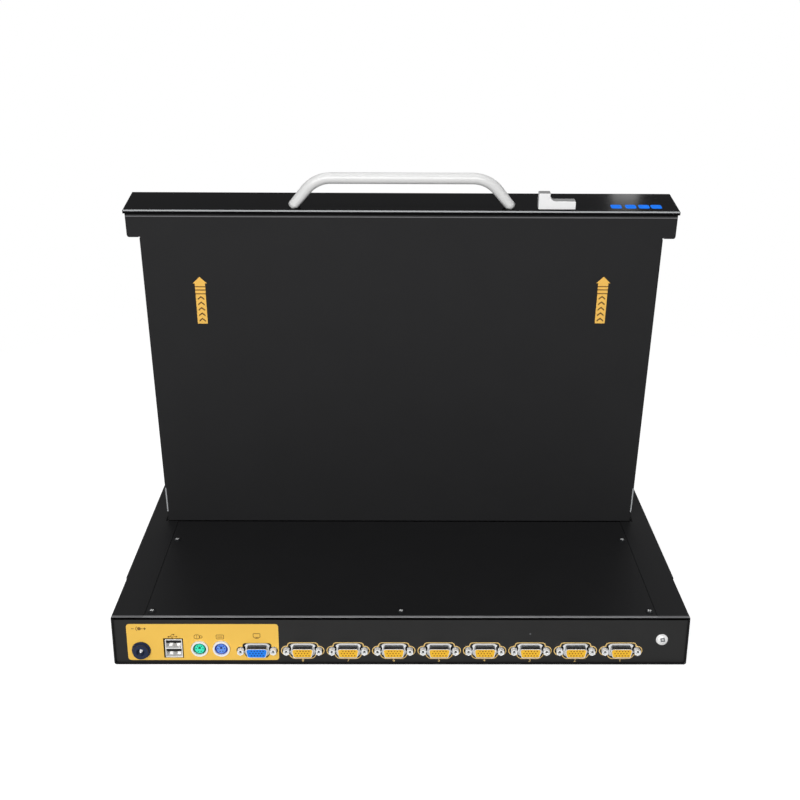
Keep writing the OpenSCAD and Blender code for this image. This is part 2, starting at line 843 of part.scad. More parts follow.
// A small round six-pin socket at x
module din_socket(x) {
    face = panel_y + din_ring_out - din_face_in;
    difference() {
        union() {
            rod_y(panel_in - over, face, x, din_z, din_ring_in);
            block([x - din_body_w / 2, panel_in - din_body_d, board_top],
                  [x + din_body_w / 2, panel_in - over, din_z + din_half]);
        }
        difference() {
            rod_y(face - din_groove, face + over, x, din_z, din_ring_in + over);
            rod_y(face - din_groove - over, face + 2 * over, x, din_z, din_core_r);
        }
        translate([x, face, din_z + din_key_z])
            block([-din_key_w / 2, -din_groove, -din_key_h / 2], [din_key_w / 2, over, din_key_h / 2]);
    }
}
module mouse_socket() color("#40d8a8") din_socket(mouse_x);
module keyboard_socket() color("#4a78e0") din_socket(keyboard_x);
module socket_shields() color("#e6e8ea") {
    for (x = [mouse_x, keyboard_x]) difference() {
        rod_y(panel_in - over, panel_y + din_ring_out, x, din_z, din_ring_r);
        rod_y(panel_in - 2 * over, panel_y + din_ring_out + over, x, din_z, din_ring_in);
    }
}

module dc_jack() color("#22304f") {
    front = panel_y + dc_out;
    difference() {
        union() {
            block([dc_x - dc_half, panel_in - dc_body_d, board_top],
                  [dc_x + dc_half, panel_in, dc_z + dc_half]);
            rod_y(panel_in, front, dc_x, dc_z, dc_barrel_r);
            rod_y(panel_y, panel_y + dc_ring_t, dc_x, dc_z, dc_ring_r);
        }
        difference() {
            rod_y(front - dc_bore_len, front + over, dc_x, dc_z, dc_bore_r);
            rod_y(front - dc_bore_len - over, front - dc_pin_in, dc_x, dc_z, dc_pin_r);
        }
    }
}

// Slides, drawn as sections of w, from the chassis wall inwards, and v, up from the middle

module race(w, v, up) {
    keep = race_bite_share * race_out;
    intersection() {
        difference() {
            translate([w, v]) circle(race_out);
            translate([w, v]) circle(race_r);
        }
        translate([w - race_out, up ? v + keep : v - race_out]) square([2 * race_out, race_out - keep]);
    }
}
module outer_section() {
    half = slide_h / 2;
    translate([0, -half]) square([slide_sheet, slide_h]);
    for (m = [0, 1]) mirror([0, m]) {
        translate([0, half - slide_sheet]) square([outer_ball_w + race_half, slide_sheet]);
        race(outer_ball_w, outer_ball_v, true);
    }
}
module middle_section() {
    half = outer_ball_v - race_r;
    translate([middle_w, -half]) square([slide_sheet, 2 * half]);
    for (m = [0, 1]) mirror([0, m]) {
        translate([middle_w, half - slide_sheet])
            square([inner_ball_w + race_half - middle_w, slide_sheet]);
        race(outer_ball_w, outer_ball_v, false);
        race(inner_ball_w, inner_ball_v, true);
    }
}
module inner_section() {
    half = inner_ball_v - race_r;
    translate([inner_web_w, -half]) square([slide_sheet, 2 * half]);
    for (m = [0, 1]) mirror([0, m]) {
        translate([inner_ball_w - race_half, half - slide_sheet])
            square([slide_t - inner_ball_w + race_half, slide_sheet]);
        race(inner_ball_w, inner_ball_v, false);
    }
}
// Puts a slide section on the side s, from the front end back over a length
module on_slide(s, y0, y1) {
    translate([s * wall_in, 0, slide_z]) mirror([s > 0 ? 1 : 0, 0, 0]) sweep_y(y0, y1) children();
}
module slide_outer_left() color("#b4b7bb") on_slide(-1, slide_front_y, slide_rear_y) outer_section();
module slide_outer_right() color("#b4b7bb") on_slide(1, slide_front_y, slide_rear_y) outer_section();
module slide_middle_left() color("#bcbfc3") on_slide(-1, slide_front_y, slide_rear_y) middle_section();
module slide_middle_right() color("#bcbfc3") on_slide(1, slide_front_y, slide_rear_y) middle_section();
module slide_inner_left() color("#c4c7cb") on_slide(-1, slide_front_y, slide_rear_y) inner_section();
module slide_inner_right() color("#c4c7cb") on_slide(1, slide_front_y, slide_rear_y) inner_section();

// A row of balls in its cage strip on the side s, at w and v of the section
module ball_row(s, w, v) {
    middle = (slide_front_y + slide_rear_y) / 2;
    x = s * (wall_in - w);
    count = floor(cage_len / ball_pitch);
    block([x - cage_half, middle - cage_len / 2, slide_z + v - cage_t / 2],
          [x + cage_half, middle + cage_len / 2, slide_z + v + cage_t / 2]);
    for (k = [0:count - 1])
        translate([x, middle + (k + 1 / 2 - count / 2) * ball_pitch, slide_z + v]) sphere(ball_r);
}
module outer_ball_cages() color("#c9a24a") {
    for (s = side_signs, v = side_signs) ball_row(s, outer_ball_w, v * outer_ball_v);
}
module inner_ball_cages() color("#c9a24a") {
    for (s = side_signs, v = side_signs) ball_row(s, inner_ball_w, v * inner_ball_v);
}

// Drawer

module drawer_tray() color("#26272b") {
    difference() {
        sweep_y(tray_front_y, tray_rear_y) difference() {
            round_box_2d(2 * drawer_half, tray_z, tray_wall_top + body_h, fold_r);
            translate([0, sheet]) round_box_2d(2 * tray_in, tray_z, tray_wall_top + body_h, fold_r - sheet);
        }
        block([-body_w, front_y - over, tray_wall_top], [body_w, rear_y, 3 * body_h]);
        // Low wall ends beside the lid ears
        block([-body_w, front_y - over, tray_low_top],
              [body_w, slide_front_y - face_gap, body_h]);
    }
    block([fold_r - drawer_half, tray_rear_y - sheet, tray_z],
          [drawer_half - fold_r, tray_rear_y, tray_low_top]);
    block([fold_r - drawer_half, tray_front_y, tray_z],
          [drawer_half - fold_r, tray_front_y + sheet, tray_low_top]);
}

// Hinge bracket on the side s: a foot on the tray floor and an ear that carries the shaft
module hinge_bracket(s) color("#a9acb1") {
    difference() {
        union() {
            mirror([s < 0 ? 1 : 0, 0, 0]) sweep_x(hinge_ear_x, hinge_ear_x + hinge_ear_t) {
                polygon([
                    [pivot_y + hinge_ear_r, tray_floor],
                    [pivot_y + hinge_ear_r, pivot_z],
                    [pivot_y - hinge_ear_r, pivot_z],
                    [pivot_y + hinge_ear_r - hinge_foot_len, hinge_slope_z],
                    [pivot_y + hinge_ear_r - hinge_foot_len, tray_floor]
                ]);
                translate([pivot_y, pivot_z]) circle(hinge_ear_r);
            }
            mirror([s < 0 ? 1 : 0, 0, 0])
                block([hinge_ear_x + hinge_ear_t - hinge_foot_w,
                       pivot_y + hinge_ear_r - hinge_foot_len, tray_floor],
                      [hinge_ear_x, pivot_y + hinge_ear_r, tray_floor + hinge_foot_t]);
        }
        rod_x(s * (hinge_ear_x - over), s * (hinge_ear_x + hinge_ear_t + over), pivot_y, pivot_z,
              shaft_r + shaft_clear);
    }
}
module hinge_bracket_left() { hinge_bracket(-1); }
module hinge_bracket_right() { hinge_bracket(1); }

// Keyboard places
function row_y(row) = at(keys_start + row * key_pitch + (row > 0 ? row_gap : 0));
function span(widths, k) = k == 0 ? 0 : widths[k - 1] + span(widths, k - 1);
function start_of(share) = keys_left + share * key_pitch;
touch_top = row_y(5) - key_pitch - pad_gap;
touch_low = touch_top - pad_depth_share * (touch_top - deck_front_y - button_bridge - button_d);
button_low = touch_low - button_bridge - button_d;

// An opening in the deck, from start over a width in key spacings, for a number of rows
module key_opening(start, width, row, rows) {
    block([start_of(start) - key_hole_gap, row_y(row) - rows * key_pitch - key_hole_gap, tray_floor],
          [start_of(start + width) + key_hole_gap, row_y(row) + key_hole_gap, deck_z + over]);
}
module keyboard_deck() color("#1c1d20") {
    difference() {
        block([-deck_half, deck_front_y, tray_floor], [deck_half, deck_rear_y, deck_z]);
        block([skirt_t - deck_half, deck_front_y + skirt_t, tray_floor - over],
              [deck_half - skirt_t, deck_rear_y - skirt_t, deck_z - deck_t]);
        for (s = side_signs) translate([s * deck_half, deck_rear_y, 0])
            block([-deck_notch_w, -deck_notch_len, tray_floor - over],
                  [deck_notch_w, over, deck_z + over]);
        for (g = function_groups_share) key_opening(g[0], g[1], 0, 1);
        key_opening(pad_left_share, pad_block_shares, 0, 1);
        key_opening(0, main_block_shares, 1, 5);
        key_opening(pad_left_share, pad_block_shares, 1, 5);
        // Seat of the touch pad, with a ledge round its hole
        block([-pad_w / 2 - pad_clear, touch_low - pad_clear, deck_z - pad_drop - pad_t],
              [pad_w / 2 + pad_clear, touch_top + pad_clear, deck_z + over]);
        block([pad_ledge - pad_w / 2, touch_low + pad_ledge, tray_floor],
              [pad_w / 2 - pad_ledge, touch_top - pad_ledge, deck_z]);
        for (s = side_signs) translate([s * (button_split + pad_w) / 4, 0, 0])
            block([(button_split - pad_w) / 4 - button_clear, button_low - button_clear, tray_floor],
                  [(pad_w - button_split) / 4 + button_clear, button_low + button_d + button_clear,
                   deck_z + over]);
        for (k = side_signs)
            block([port_button_x + k * port_button_gap / 2 - port_button_w / 2 - button_clear,
                   at(port_button_r) - port_button_d / 2 - button_clear, tray_floor],
                  [port_button_x + k * port_button_gap / 2 + port_button_w / 2 + button_clear,
                   at(port_button_r) + port_button_d / 2 + button_clear, deck_z + over]);
    }
}

module touchpad() color("#2e3034") {
    block([-pad_w / 2, touch_low, deck_z - pad_drop - pad_t], [pad_w / 2, touch_top, deck_z - pad_drop]);
}

// Key caps of one row, drawn as one sawtooth section cut to the row's depth, with guided stems
module key_row(starts, widths, row, rows) {
    y1 = row_y(row) - key_gap / 2;
    y0 = row_y(row) - rows * key_pitch + key_gap / 2;
    low = deck_z + key_rise - cap_h;
    draft = (1 - key_top_share) * key_pitch / 2;
    count = len(starts) - 1;
    intersection() {
        sweep_y(y0, y1) for (k = [0:count]) let (
            x0 = start_of(starts[k]) + key_gap / 2,
            x1 = start_of(starts[k] + widths[k]) - key_gap / 2
        ) polygon([[x0, low], [x1, low], [x1 - draft, low + cap_h], [x0 + draft, low + cap_h]]);
        sweep_x(start_of(starts[0]), start_of(starts[count] + widths[count]))
            polygon([[y0, low], [y1, low], [y1 - draft, low + cap_h], [y0 + draft, low + cap_h]]);
    }
    for (k = [0:count]) translate([start_of(starts[k] + widths[k] / 2), (y0 + y1) / 2, stem_end])
        block([-stem_w / 2, -stem_w / 2, 0], [stem_w / 2, stem_w / 2, low - stem_end + face_gap]);
}
function starts_from(first, widths) = [for (k = [0:len(widths) - 1]) first + span(widths, k)];
function ones(count) = [for (k = [1:count]) 1];
// Each group is a list of rows: starts, widths, row number, rows deep
function function_rows() = [
    [function_starts_share, ones(len(function_starts_share)), 0, 1],
    [starts_from(pad_left_share, ones(pad_block_shares)), ones(pad_block_shares), 0, 1]
];
function number_rows() = [[starts_from(0, number_widths_share), number_widths_share, 1, 1]];
function letter_rows() = [
    [starts_from(0, upper_widths_share), upper_widths_share, 2, 1],
    [starts_from(0, home_widths_share), home_widths_share, 3, 1],
    [starts_from(0, lower_widths_share), lower_widths_share, 4, 1]
];
space_start_share = span(left_mods_share, len(left_mods_share));
function modifier_rows() = [
    [starts_from(0, left_mods_share), left_mods_share, 5, 1],
    [starts_from(space_start_share + space_width_share, right_mods_share), right_mods_share, 5, 1]
];
function space_rows() = [[[space_start_share], [space_width_share], 5, 1]];
function pad_rows() = concat(
    [for (k = [0:4]) [starts_from(pad_left_share, pad_rows_share[k]), pad_rows_share[k], k + 1, 1]],
    [for (row = [2, 4]) if (len(pad_rows_share[row - 1]) == 3 && pad_rows_share[row - 1][0] == 1)
        [[pad_left_share + 3], [1], row, 1]]
);
module key_group(rows) for (r = rows) key_row(r[0], r[1], r[2], r[3]);
module function_keys() color("#303238") key_group(function_rows());
module number_keys() color("#2a2c30") key_group(number_rows());
module letter_keys() color("#2a2c30") key_group(letter_rows());
module modifier_keys() color("#303238") key_group(modifier_rows());
module space_bar() color("#2a2c30") key_group(space_rows());
module number_pad_keys() color("#2a2c30") key_group(pad_rows());

// Guide plate: a shallow pan over the membrane with a square hole for every stem
module key_plate() color("#8f9398") {
    x0 = keys_left - plate_edge;
    x1 = -keys_left + plate_edge;
    y1 = row_y(0) + plate_edge;
    y0 = row_y(5) - key_pitch - plate_edge;
    difference() {
        block([x0, y0, tray_floor], [x1, y1, plate_top]);
        block([x0 + plate_wall, y0 + plate_wall, tray_floor - over],
              [x1 - plate_wall, y1 - plate_wall, plate_top - plate_t]);
        for (r = concat(function_rows(), number_rows(), letter_rows(), modifier_rows(),
                        space_rows(), pad_rows()), k = [0:len(r[0]) - 1])
            translate([start_of(r[0][k] + r[1][k] / 2), row_y(r[2]) - r[3] * key_pitch / 2, 0])
                block([-stem_w / 2 - stem_clear, -stem_w / 2 - stem_clear, tray_floor],
                      [stem_w / 2 + stem_clear, stem_w / 2 + stem_clear, plate_top + over]);
    }
}
module key_membrane() color("#c9c2b4") {
    inset = plate_wall + face_gap;
    block([keys_left - plate_edge + inset, row_y(5) - key_pitch - plate_edge + inset, tray_floor],
          [plate_edge - keys_left - inset, row_y(0) + plate_edge - inset, tray_floor + membrane_t]);
}

// A push button in the deck: cap, retaining lip under the deck and a post over its switch
module deck_button(x0, x1, y0, y1) {
    top = deck_z + button_rise;
    lip = deck_z - deck_t - face_gap;
    block([x0, y0, lip - button_lip_t], [x1, y1, top]);
    block([x0, y0 - button_lip, lip - button_lip_t], [x1, y1 + button_lip, lip]);
    translate([(x0 + x1) / 2, (y0 + y1) / 2, 0])
        block([-button_post_w / 2, -button_post_w / 2, tray_floor + button_base_gap],
              [button_post_w / 2, button_post_w / 2, lip]);
}
module touch_button(s) {
    inner = button_split / 2;
    outer = pad_w / 2;
    deck_button(min(s * inner, s * outer), max(s * inner, s * outer), button_low, button_low + button_d);
}
module touch_button_left() color("#34363b") touch_button(-1);
module touch_button_right() color("#34363b") touch_button(1);
module port_button(k) {
    x = port_button_x + k * port_button_gap / 2;
    deck_button(x - port_button_w / 2, x + port_button_w / 2,
                at(port_button_r) - port_button_d / 2, at(port_button_r) + port_button_d / 2);
}
module port_down_button() color("#3a3c42") port_button(-1);
module port_up_button() color("#3a3c42") port_button(1);

// Lid, drawn closed along -Y from the pivot

// The lid's outer form, drawn in by a wall and raised from a floor
module lid_form(wall, z0, z1, r) {
    pillow([wall - lid_half, wall - lid_len, z0], [lid_half - wall, lid_tail - wall, z1], r);
    pillow([wall - lid_half - lid_ear_w, wall - lid_len, z0],
           [lid_half + lid_ear_w - wall, -lid_ear_start - wall, z1], r);
}
// Plan of the lid: hinge notches at its tail, relief holes and round corners at its ears
module lid_cuts(z0, z1, notch_top) {
    corner = lid_half + lid_ear_w;
    for (s = side_signs) mirror([s < 0 ? 1 : 0, 0, 0]) {
        block([hinge_x, -hinge_notch_len, z0], [lid_half + over, lid_tail + over, notch_top]);
        block([hinge_x, -hinge_tail_len, z0], [lid_half + over, lid_tail + over, z1]);
        translate([lid_half, -lid_ear_start, z0]) cylinder(h = z1 - z0, r = lid_relief_r);
        difference() {
            block([corner - lid_ear_r, -lid_ear_start - lid_ear_r, z0],
                  [corner + over, over - lid_ear_start, z1]);
            translate([corner - lid_ear_r, -lid_ear_start - lid_ear_r, z0 - over])
                cylinder(h = z1 - z0 + 2 * over, r = lid_ear_r);
        }
    }
}
function bezel_places() = [
    [-bezel_screw_x, 0], [bezel_screw_x, 0],
    [-handle_span / 2, handle_z], [handle_span / 2, handle_z]
];
module lid_shell() color("#2a2b2e") in_lid() {
    difference() {
        lid_form(0, shell_front, lid_back, lid_edge_r);
        difference() {
            lid_form(lid_sheet, shell_front - over, shell_in, lid_edge_r - lid_sheet);
            // Walls left standing round the hinge notches
            for (s = side_signs) mirror([s < 0 ? 1 : 0, 0, 0])
                block([hinge_x - lid_sheet, -hinge_notch_len - lid_sheet, -lid_t],
                      [lid_half + over, lid_tail + over, lid_t]);
        }
        lid_cuts(-lid_t, lid_t, shell_in);
        for (s = side_signs)
            rod_x(s * (hinge_x - lid_sheet - over), s * (hinge_x + over), 0, 0, hinge_wall_hole_r);
        for (p = bezel_places())
            rod_y(-lid_len - over, lid_sheet + over - lid_len, p[0], p[1], screw_r + screw_clear);
        latch_slot(-lid_len - over, lid_sheet + over - lid_len);
    }
    for (sx = side_signs, sy = side_signs)
        translate([sx * (driver_w / 2 - driver_post_edge),
                   -driver_at + sy * (driver_d / 2 - driver_post_edge), driver_z + board_t])
            cylinder(h = shell_in - driver_z - board_t, r = driver_post_r);
    for (sx = side_signs)
        translate([osd_x + sx * (key_board_w / 2 - driver_post_r), -osd_at, key_board_z + board_t])
            cylinder(h = shell_in - key_board_z - board_t, r = driver_post_r);
}

function osd_places() = [for (k = [0:3]) osd_x + (k - 3 / 2) * osd_pitch];
module screen_frame() color("#17181a") in_lid() {
    difference() {
        union() {
            block([-lid_half, -lid_len, -lid_t / 2], [lid_half, lid_tail, shell_front]);
            block([-lid_half - lid_ear_w, -lid_len, -lid_t / 2],
                  [lid_half + lid_ear_w, -lid_ear_start, shell_front]);
        }
        lid_cuts(-lid_t, lid_t, lid_t);
        block([-screen_w / 2 - window_gap, -screen_at - screen_h / 2 - window_gap, -lid_t],
              [screen_w / 2 + window_gap, -screen_at + screen_h / 2 + window_gap, lid_t]);
        for (x = osd_places())
            block([x - osd_w / 2 - button_clear, -osd_at - osd_d / 2 - button_clear, -lid_t],
                  [x + osd_w / 2 + button_clear, -osd_at + osd_d / 2 + button_clear, lid_t]);
    }
}
module lcd_panel() color("#0c0d10") in_lid() {
    block([-screen_w / 2 - panel_margin_w, -screen_at - screen_h / 2 - panel_margin_h, shell_front],
          [screen_w / 2 + panel_margin_w, -screen_at + screen_h / 2 + panel_margin_h,
           shell_front + panel_t]);
}
module driver_board() color("#1f5b36") in_lid() {
    block([-driver_w / 2, -driver_at - driver_d / 2, driver_z],
          [driver_w / 2, -driver_at + driver_d / 2, driver_z + board_t]);
    for (k = side_signs) translate([k * driver_w / 4, -driver_at, driver_z - driver_chip_h])
        block([-driver_chip / 2, -driver_chip / 2, 0], [driver_chip / 2, driver_chip / 2, driver_chip_h]);
    block([osd_x - key_board_w / 2, -osd_at - key_board_d / 2, key_board_z],
          [osd_x + key_board_w / 2, -osd_at + key_board_d / 2, key_board_z + board_t]);
}

// Hinge leaf on the side s: leaf on the lid's back, barrel, shaft, washers and nut
module hinge_leaf(s) color("#b9bcc0") in_lid() mirror([s < 0 ? 1 : 0, 0, 0]) {
    barrel_end = hinge_x - lid_sheet - hinge_wall_gap;
    ear_end = hinge_ear_x + hinge_ear_t;
    block([barrel_end - hinge_leaf_w, -hinge_leaf_len, shell_in - hinge_leaf_t],
          [barrel_end, 0, shell_in]);
    block([barrel_end - hinge_barrel_len, -2 * hinge_barrel_r, 0], [barrel_end, 0, shell_in]);
    rod_x(barrel_end - hinge_barrel_len, barrel_end, 0, 0, hinge_barrel_r);
    rod_x(barrel_end - over, ear_end + face_gap + hinge_washer_t + hinge_nut_t, 0, 0, shaft_r);
    rod_x(hinge_x + face_gap, hinge_ear_x - face_gap, 0, 0, hinge_washer_r);
    rod_x(ear_end + face_gap, ear_end + face_gap + hinge_washer_t, 0, 0, hinge_washer_r);
    translate([ear_end + face_gap + hinge_washer_t, 0, 0]) rotate([0, 90, 0])
        cylinder(h = hinge_nut_t, r = hinge_nut_r, $fn = 6);
}
module hinge_leaf_left() { hinge_leaf(-1); }
module hinge_leaf_right() { hinge_leaf(1); }

// A button in the screen frame, numbered from the user's left
module osd_button(k) in_lid() {
    x = osd_places()[k];
    lip = shell_front + face_gap;
    block([x - osd_w / 2, -osd_at - osd_d / 2, -lid_t / 2 - osd_out],
          [x + osd_w / 2, -osd_at + osd_d / 2, shell_front + osd_in]);
    block([x - osd_w / 2 - osd_lip, -osd_at - osd_d / 2 - osd_lip, lip],
          [x + osd_w / 2 + osd_lip, -osd_at + osd_d / 2 + osd_lip, lip + osd_lip_t]);
}
module minus_button() color("#303236") osd_button(0);
module plus_button() color("#303236") osd_button(1);
module menu_button() color("#303236") osd_button(2);
module power_button() color("#303236") osd_button(3);

// Bezel, handle and latch, on the lid's end

bezel_top = lid_back + bezel_proud;
bezel_back = bezel_face - bezel_t;
// How far a screw runs past the bezel's face: into the handle, or short of the face
function bezel_bite(p) = p[1] == handle_z ? handle_screw_bite : -2 * bezel_edge_r;
module latch_slot(y0, y1) {
    block([latch_x - latch_stem_w / 2 - latch_clear, y0, latch_stem_at - latch_stem_z / 2 - latch_clear],
          [latch_x + latch_stem_w / 2 + latch_travel + latch_clear, y1,
           latch_stem_at + latch_stem_z / 2 + latch_clear]);
}
module front_bezel() color("#121315") in_lid() {
    difference() {
        union() {
            translate([0, -bezel_back, bezel_top - bezel_h / 2]) rotate([90, 0, 0])
                pillow([-bezel_w / 2, -bezel_h / 2, 0], [bezel_w / 2, bezel_h / 2, bezel_t], bezel_edge_r);
            for (p = bezel_places()) rod_y(-lid_len, -bezel_back - over, p[0], p[1], boss_r);
        }
        for (p = bezel_places())
            rod_y(-lid_len + over, -bezel_face - bezel_bite(p), p[0], p[1], screw_r + screw_clear);
        latch_slot(-bezel_face - over, -bezel_back + over);
    }
}
module bezel_screws() color("#8d9095") in_lid() {
    seat = lid_sheet - lid_len;
    for (p = bezel_places()) {
        bite = min(bezel_bite(p), handle_screw_bite);
        translate([p[0], seat, p[1]]) rotate([-90, 0, 0]) pan_head(bezel_head_r, bezel_head_h);
        rod_y(-bezel_face - bite, seat, p[0], p[1], screw_r);
    }
}

// The bar's joints are bridged by thin collars, so that no two ends meet face to face
module handle() color("#f2f2f0") in_lid() translate([0, -bezel_face, handle_z]) mirror([0, 1, 0]) {
    r = handle_d / 2;
    turn = 90 - handle_lean;
    tangent = handle_bend * tan(turn / 2);
    corner = handle_span / 2 - handle_rise * tan(handle_lean);
    straight = corner - tangent;
    leg = handle_rise / cos(handle_lean) - tangent;
    translate([collar_in - straight, handle_rise, 0]) rotate([0, 90, 0])
        cylinder(h = 2 * (straight - collar_in), r = r);
    for (m = [0, 1]) mirror([m, 0, 0]) {
        translate([straight, handle_rise - handle_bend, 0]) {
            rotate([0, 0, handle_lean + collar_turn]) rotate_extrude(angle = turn - 2 * collar_turn)
                translate([handle_bend, 0]) circle(r);
            for (a = [handle_lean, 90]) rotate([0, 0, a]) translate([handle_bend, collar_t / 2, 0])
                rotate([90, 0, 0]) cylinder(h = collar_t, r = r + collar_step);
        }
        difference() {
            translate([handle_span / 2, 0, 0]) rotate([0, 0, handle_lean]) rotate([-90, 0, 0])
                translate([0, 0, -handle_d]) cylinder(h = leg + handle_d - collar_in, r = r);
            block([0, -2 * handle_d, -handle_d], [handle_span, 0, handle_d]);
            rotate([-90, 0, 0]) translate([handle_span / 2, 0, -over])
                cylinder(h = handle_screw_bite + over, r = screw_r);
        }
    }
}

// Latch outline in X and in height above the bezel, tab towards the handle
module latch() color("#e9e9e9") in_lid() {
    x0 = latch_x - latch_len / 2;
    x1 = latch_x + latch_len / 2;
    tab = x1 - latch_tab;
    y = -bezel_face - face_gap;
    translate([0, y, latch_z0]) mirror([0, 1, 0]) linear_extrude(latch_z1 - latch_z0) {
        difference() {
            union() {
                translate([x0, 0]) square([latch_len, latch_bar_h - face_gap]);
                translate([tab, 0]) square([latch_tab, latch_tab_h - face_gap]);
                translate([tab - latch_blend_r, latch_bar_h - face_gap - over])
                    square([latch_blend_r, latch_blend_r + over]);
            }
            translate([tab - latch_blend_r, latch_bar_h - face_gap + latch_blend_r]) circle(latch_blend_r);
            polygon([[x0 - over, latch_bar_h + over], [x0 - over, latch_bar_h - latch_nip - over],
                     [x0 + latch_nip + over, latch_bar_h + over]]);
        }
    }
    // Stem through the bezel and the lid's end wall, with a keeper plate inside
    block([latch_x - latch_stem_w / 2, y - over, latch_stem_at - latch_stem_z / 2],
          [latch_x + latch_stem_w / 2, lid_sheet - lid_len + face_gap + latch_plate_t,
           latch_stem_at + latch_stem_z / 2]);
    block([latch_x - latch_plate_w / 2, lid_sheet - lid_len + face_gap, latch_stem_at - latch_plate_h / 2],
          [latch_x + latch_plate_w / 2, lid_sheet - lid_len + face_gap + latch_plate_t,
           shell_in - face_gap]);
}

chassis_pan();
rear_panel();
top_cover();
cover_screws();
ground_screw();
rack_bracket_left();
rack_bracket_right();
bracket_screws();
slide_outer_left();
slide_outer_right();
bulkhead();
switch_board();
board_standoffs();
dc_jack();
usb_shell();
usb_tongues();
mouse_socket();
keyboard_socket();
socket_shields();
console_vga_insert();
port_vga_inserts();
vga_shells();
jackscrews();
slide_middle_left();
slide_middle_right();
outer_ball_cages();
inner_ball_cages();
drawer_tray();
slide_inner_left();
slide_inner_right();
keyboard_deck();
key_plate();
key_membrane();
touchpad();
hinge_bracket_left();
hinge_bracket_right();
function_keys();
number_keys();
letter_keys();
modifier_keys();
space_bar();
number_pad_keys();
touch_button_left();
touch_button_right();
port_up_button();
port_down_button();
lid_shell();
screen_frame();
lcd_panel();
driver_board();
front_bezel();
handle();
bezel_screws();
hinge_leaf_left();
hinge_leaf_right();
latch();
power_button();
menu_button();
plus_button();
minus_button();
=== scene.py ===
# %% [markdown]
# # Rack console drawer
# The CAD part brings the shape and the joints. This script gives it the look of the real thing:
# powder coated sheet steel, plated sockets, moulded plastics, printed marks and studio light.
# Lengths are in millimetres up to the one place where a mesh is made. Only the lights, the camera
# and the floor, which belong to the studio, are in metres.

# %% Load the frame
import math
import bpy
import numpy as np
from mathutils import Matrix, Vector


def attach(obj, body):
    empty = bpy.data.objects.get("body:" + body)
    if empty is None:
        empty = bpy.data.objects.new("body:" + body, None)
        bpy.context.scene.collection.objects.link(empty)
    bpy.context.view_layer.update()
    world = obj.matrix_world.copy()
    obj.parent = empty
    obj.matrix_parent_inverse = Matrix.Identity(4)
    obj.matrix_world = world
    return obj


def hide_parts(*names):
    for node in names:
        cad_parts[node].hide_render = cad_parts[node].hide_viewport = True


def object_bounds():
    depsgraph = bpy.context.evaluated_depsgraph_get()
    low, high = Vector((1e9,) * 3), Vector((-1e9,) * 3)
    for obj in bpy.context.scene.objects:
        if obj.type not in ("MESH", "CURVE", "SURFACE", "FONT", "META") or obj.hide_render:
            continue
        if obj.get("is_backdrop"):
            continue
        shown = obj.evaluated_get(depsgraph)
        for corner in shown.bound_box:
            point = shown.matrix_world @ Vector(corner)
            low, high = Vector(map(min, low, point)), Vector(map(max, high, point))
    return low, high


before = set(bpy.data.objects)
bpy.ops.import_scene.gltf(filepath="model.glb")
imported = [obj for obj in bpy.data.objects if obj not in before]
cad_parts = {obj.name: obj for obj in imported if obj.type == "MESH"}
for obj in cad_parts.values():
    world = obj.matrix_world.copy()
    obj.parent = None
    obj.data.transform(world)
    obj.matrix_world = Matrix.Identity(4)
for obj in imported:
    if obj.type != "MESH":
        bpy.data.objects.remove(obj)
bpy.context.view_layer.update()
print("the frame holds", len(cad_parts), "CAD nodes")

# %% [markdown]
# ## Places
# At rest the lid stands open and leans back a little. A point on it is given by its X, its
# distance `s` from the hinge pivot along the lid, and its height `n` towards the lid's back. A
# point on the port panel is given by X, Z and how far it stands out. So each mark is placed as its
# maker would measure it, on its own sheet.

# %% Places on the object
panel_y = 231.2
pivot = np.array([0.0, 58.7, 34.1])
lean = math.radians(8.3)
lid_up = np.array([0.0, math.sin(lean), math.cos(lean)])
lid_out = np.array([0.0, math.cos(lean), -math.sin(lean)])
lid_back = 8.0
bezel_face = 298.0


def on_lid(x, s, n):
    """Points for lid coordinates, which may be arrays: pivot + x across + s * up + n * out."""
    x, s, n = np.broadcast_arrays(np.asarray(x, float), s, n)
    return pivot + x[..., None] * [1, 0, 0] + s[..., None] * lid_up + n[..., None] * lid_out


def on_panel(x, z, out=0.0):
    """Points on the port panel, `out` in front of its face."""
    x, z, out = np.broadcast_arrays(np.asarray(x, float), z, out)
    return np.stack([x, panel_y + out, z], -1)


def corners_of(name):
    """The corners of a CAD node in mm, one in each row."""
    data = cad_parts[name].data
    flat = np.zeros(len(data.vertices) * 3)
    data.vertices.foreach_get("co", flat)
    return flat.reshape(-1, 3) * 1000


print("the lid leans back by", round(math.degrees(lean), 1), "degrees")

# %% [markdown]
# ## Colours and shader nodes
# A colour is typed as the hex that a screen shows and turned to the linear values that Cycles
# works in. One small function adds any shader node and wires it.

# %% Colours and shader nodes
def linear(code):
    """Linear RGBA of an sRGB hex colour: c / 12.92 below 0.04045, else ((c + 0.055) / 1.055) ** 2.4."""
    c = np.array([int(code[i:i + 2], 16) for i in (1, 3, 5)]) / 255
    c = np.where(c <= 0.04045, c / 12.92, ((c + 0.055) / 1.055) ** 2.4)
    return (*c, 1.0)


def add(tree, kind, inputs=None, **settings):
    """One shader node: settings are its properties, and inputs its values or the sockets that feed it."""
    made = tree.nodes.new("ShaderNode" + kind)
    for key, value in settings.items():
        setattr(made, key, value)
    for key, value in (inputs or {}).items():
        if isinstance(value, bpy.types.NodeSocket):
            tree.links.new(value, made.inputs[key])
        else:
            made.inputs[key].default_value = value
    return made


def empty_tree(owner):
    """The cleared node tree of a material or a world."""
    owner.use_nodes = True
    owner.node_tree.nodes.clear()
    return owner.node_tree


print("#808080 is", round(linear("#808080")[0], 3), "in linear light")

